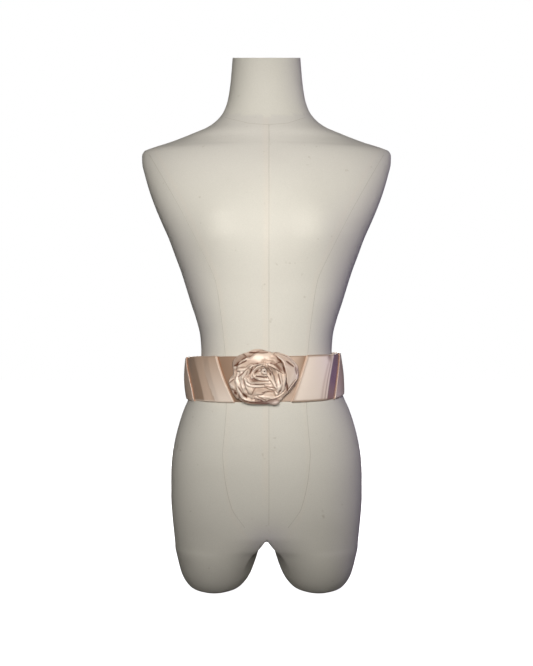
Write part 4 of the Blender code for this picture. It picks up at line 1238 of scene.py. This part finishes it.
def makeSheet(petal, edge, lift, above):
    # a petal's middle surface by share along it and depth from its inner edge to its rim, laid
    # under the sheets above it; crevice, for painted shade, tells where it dives under them
    span = petal[1][-1] - petal[1][0]
    along = 24 + int(span * 0.75)
    share, depth = np.meshgrid(np.linspace(0, 1, along), np.linspace(0, 1, rose["deep"]), indexing="ij")
    angle = petal[1][0] + span * share
    start = alongPetal(petal, edge, share)
    reach = start + (alongPetal(petal, petal[2], share) - start) * depth
    height = roseGround(reach) + lift(depth)
    crevice = np.zeros_like(height)
    soft = rose["softRoof"]
    for sheet in above:
        roof = roofHeight(sheet, angle, reach, rose["lap"])
        height = np.minimum(height, roof) - soft * np.log1p(np.exp(-np.abs(height - roof) / soft))
    # how far the painted crevice shade reaches, wider at the top
    slit = rose["slit"] + rose["slitWander"] * softNoise(angle / 14, reach * 2, len(above))
    slit = slit + 0.0016 * bell(angle, 85, 22) * (reach > 0.8)
    for sheet in above:
        over, away = underSheet(sheet, angle, reach)
        drop = unit((over - height - 0.0008) / 0.0018)
        crevice = np.maximum(crevice, drop * np.clip(1.3 - away / slit, 0, 1))
    sheet = dict(petal=petal, span=span, edge=edge, share=share, depth=depth)
    return dict(sheet, angle=angle, reach=reach, height=height, crevice=crevice)


def makeSheets():
    sheets = []
    for turn, petals in enumerate(petalTurns):
        if turn == turnedOver:
            sheets.append(makeSheet(turnedPetal, turnedEdge, lambda depth: turnedLift, sheets))
        tilt = rose["tilts"][turn]
        for petal in petals:
            root = petalRoot(petal, turn)
            sheets.append(makeSheet(petal, root, lambda depth: tilt * (2 * depth - 1), sheets))
    return sheets


def makePetal(sheet, seed):
    petal, share, depth = sheet["petal"], sheet["share"], sheet["depth"]
    turned = petal[0] == turnedPetal[0]
    across = rosePlace(sheet["angle"], sheet["reach"], sheet["height"])
    length = np.linalg.norm(np.diff(across, axis=0), axis=-1).sum(axis=0).mean()
    width = np.linalg.norm(np.diff(across, axis=1), axis=-1).sum(axis=1).mean()
    # the folded rim turns down at its edge and is a little fuller than the rest
    nearRim = unit((depth - rose["rimFrom"]) / rose["rimSpan"])
    nearEdge = unit((rose["edgeSpan"] - depth) / rose["edgeSpan"]) if turned else np.zeros_like(depth)
    height = sheet["height"] - rose["curl"] * (nearRim**2 + nearEdge**2)
    u, v = share * length / rose["ripplePitch"], depth * width / rose["ripplePitch"]
    height = height + rose["ripple"] * softNoise(u, v * 0.6, seed)
    folds = softNoise(share * length / rose["gatherPitch"], v * 0.15, seed + 1)
    height = height + rose["gather"] * folds * (1 - depth) ** 1.2 * (0 if turned else 1)
    hollow, ridge = strokeField(roseHollows, across), strokeField(roseRidges, across)
    height = height + rose["ridge"] * ridge - rose["hollow"] * hollow
    swell = rose["wall"] / 2 + rose["rimSwell"] * (nearRim + nearEdge) * 0.5
    outer = rosePlace(sheet["angle"], sheet["reach"], height + swell)
    inner = rosePlace(sheet["angle"], sheet["reach"], height - swell)
    uv = np.stack([share * length, depth * width], axis=-1)
    points, quads, uv = clothWall(outer, inner, uv)
    name = "".join(word.title() if k else word for k, word in enumerate(petal[0].split("_")))
    piece = makePiece(name, points, quads, roseMaterial, [petal[0]], uv=uv)
    # painted light: the listed shade and highlight, painted shade in crevices and hollows, a painted
    # highlight along the rim and on ridges, painted plum shade low on the right, and a painted
    # orange-brown line at the crevices' margins
    lightTone = alongPetal(petal, petal[3], share)
    patch = softNoise(share * length / rose["patchPitch"], depth * 0.6, seed + 2)
    crevice = sheet["crevice"] * np.clip(0.55 + 0.9 * patch, 0.1, 0.9)
    dark, bright = np.maximum(lightTone, 0), np.maximum(-lightTone, 0)
    rimShine = unit((depth - 0.72) / 0.2) * unit(0.55 + 0.8 * patch)
    crevice = np.maximum(0.8 * crevice, hollow)
    inShade = 0.8 * dark * (1.1 - 0.35 * depth) * (1 - 0.8 * ridge) + 0.10 * (1 - depth) + crevice
    shine = np.maximum(bright * unit(0.35 + depth) + 0.45 * rimShine, ridge)
    shine = unit(shine * (1 - crevice))
    lowRight = unit(np.cos(np.radians(sheet["angle"] + 38)) * 1.4 - 0.3)
    plum = lowRight * np.clip(sheet["reach"] - 0.55, 0, 0.45) * 1.6 * dark
    edge = 0.3 * crevice * (1 - crevice)
    paint(piece, 2, glow=shine, shade=unit(inShade), plum=plum, edge=edge)


def makeRoseRoot(sheets):
    around, rings = 120, 26
    angles = 360 * np.arange(around) / around
    reach = rose["rootReach"] * np.arange(rings, 0, -1)[:, None] / rings * np.ones(around)
    angle = np.ones((rings, 1)) * angles
    spare = rose["wall"] / 2 + 5 * belt["seamGap"]
    top = np.min([roofHeight(sheet, angle, reach, spare) for sheet in sheets], axis=0)
    top = np.minimum(top, rose["crown"] - rose["budFoot"] - belt["seamGap"])
    top = np.maximum(top, rose["rootEdge"])
    low = np.full_like(top, belt["seamGap"])
    upper, under = rosePlace(angle, reach, top), rosePlace(angle, reach, low)
    centres = rosePlace(np.zeros(2), np.zeros(2), np.array([top[-1].min(), belt["seamGap"]]))
    size = rings * around
    quads = [
        gridQuads(rings, around, wrap=True),
        gridQuads(rings, around, size, wrap=True)[:, ::-1],
        ringQuads(size + np.arange(around), np.arange(around)),
    ]
    last = size - around + np.arange(around)
    tips = [fan(last, 2 * size), fan(last + size, 2 * size + 1)[:, [1, 0, 2]]]
    points = np.concatenate([upper.reshape(-1, 3), under.reshape(-1, 3), centres])
    cloth = np.stack([angle * 0.0006, reach * 0.05], axis=-1).reshape(-1, 2)
    uv = np.concatenate([cloth, cloth, np.zeros((2, 2))])
    root = makePiece(
        "roseRoot",
        points,
        np.concatenate(quads),
        roseMaterial,
        ["rose_root"],
        np.concatenate(tips),
        uv,
    )
    # the root is painted in deep shade with an orange-brown cast
    setAttribute(root, "shade", np.full(len(points), 0.9))
    setAttribute(root, "edge", np.full(len(points), 0.6))


def makeRoseBud():
    # the strip's first turns: a spiral wall that opens a little at its rim
    columns, rows = 150, 16
    share = np.linspace(0, 1, columns) * np.ones((rows, 1))
    level = np.linspace(0, 1, rows)[:, None] * np.ones(columns)
    angle = np.degrees(2 * math.pi * rose["budTurns"] * share + 0.6)
    centre = rose["budCentre"] + rose["budSpread"] * share
    centre = centre * (1 + 0.10 * level**3) + 0.00010 * softNoise(share * 12, level * 2, 71)
    height = rose["crown"] - rose["budFoot"] + (rose["budFoot"] + rose["budTop"]) * level
    height = height + 0.0006 * level * softNoise(share * 7, level, 72) + rose["budLean"] * (1 - share)
    radius = roseRadius(angle)
    outer, inner = [rosePlace(angle, (centre + off) / radius, height) for off in rose["budFaces"]]
    uv = np.stack([share * 0.02, level * 0.008], axis=-1)
    points, quads, uv = clothWall(outer, inner, uv)
    bud = makePiece("roseBud", points, quads, roseMaterial, ["rose_bud"], uv=uv)
    # painted shade low in the spiral, more on its inner face; painted highlight along the rim and over
    # the nose
    deep = unit(1.0 - level.ravel() * 1.4) * 0.35
    nose = np.zeros(len(points) - 2 * share.size)
    rim = unit(level.ravel() * 3 - 2)
    setAttribute(bud, "shade", np.concatenate([deep, np.minimum(deep + 0.3, 1), nose]))
    setAttribute(bud, "glow", np.concatenate([1.0 * rim, 0.6 * rim, nose + 1.0]))


roseSheets = makeSheets()
makeRoseRoot(roseSheets)
makeRoseBud()
for number, roseSheet in enumerate(roseSheets):
    makePetal(roseSheet, 100 + 3 * number)
print("rose: root, bud and %d petals" % len(roseSheets))
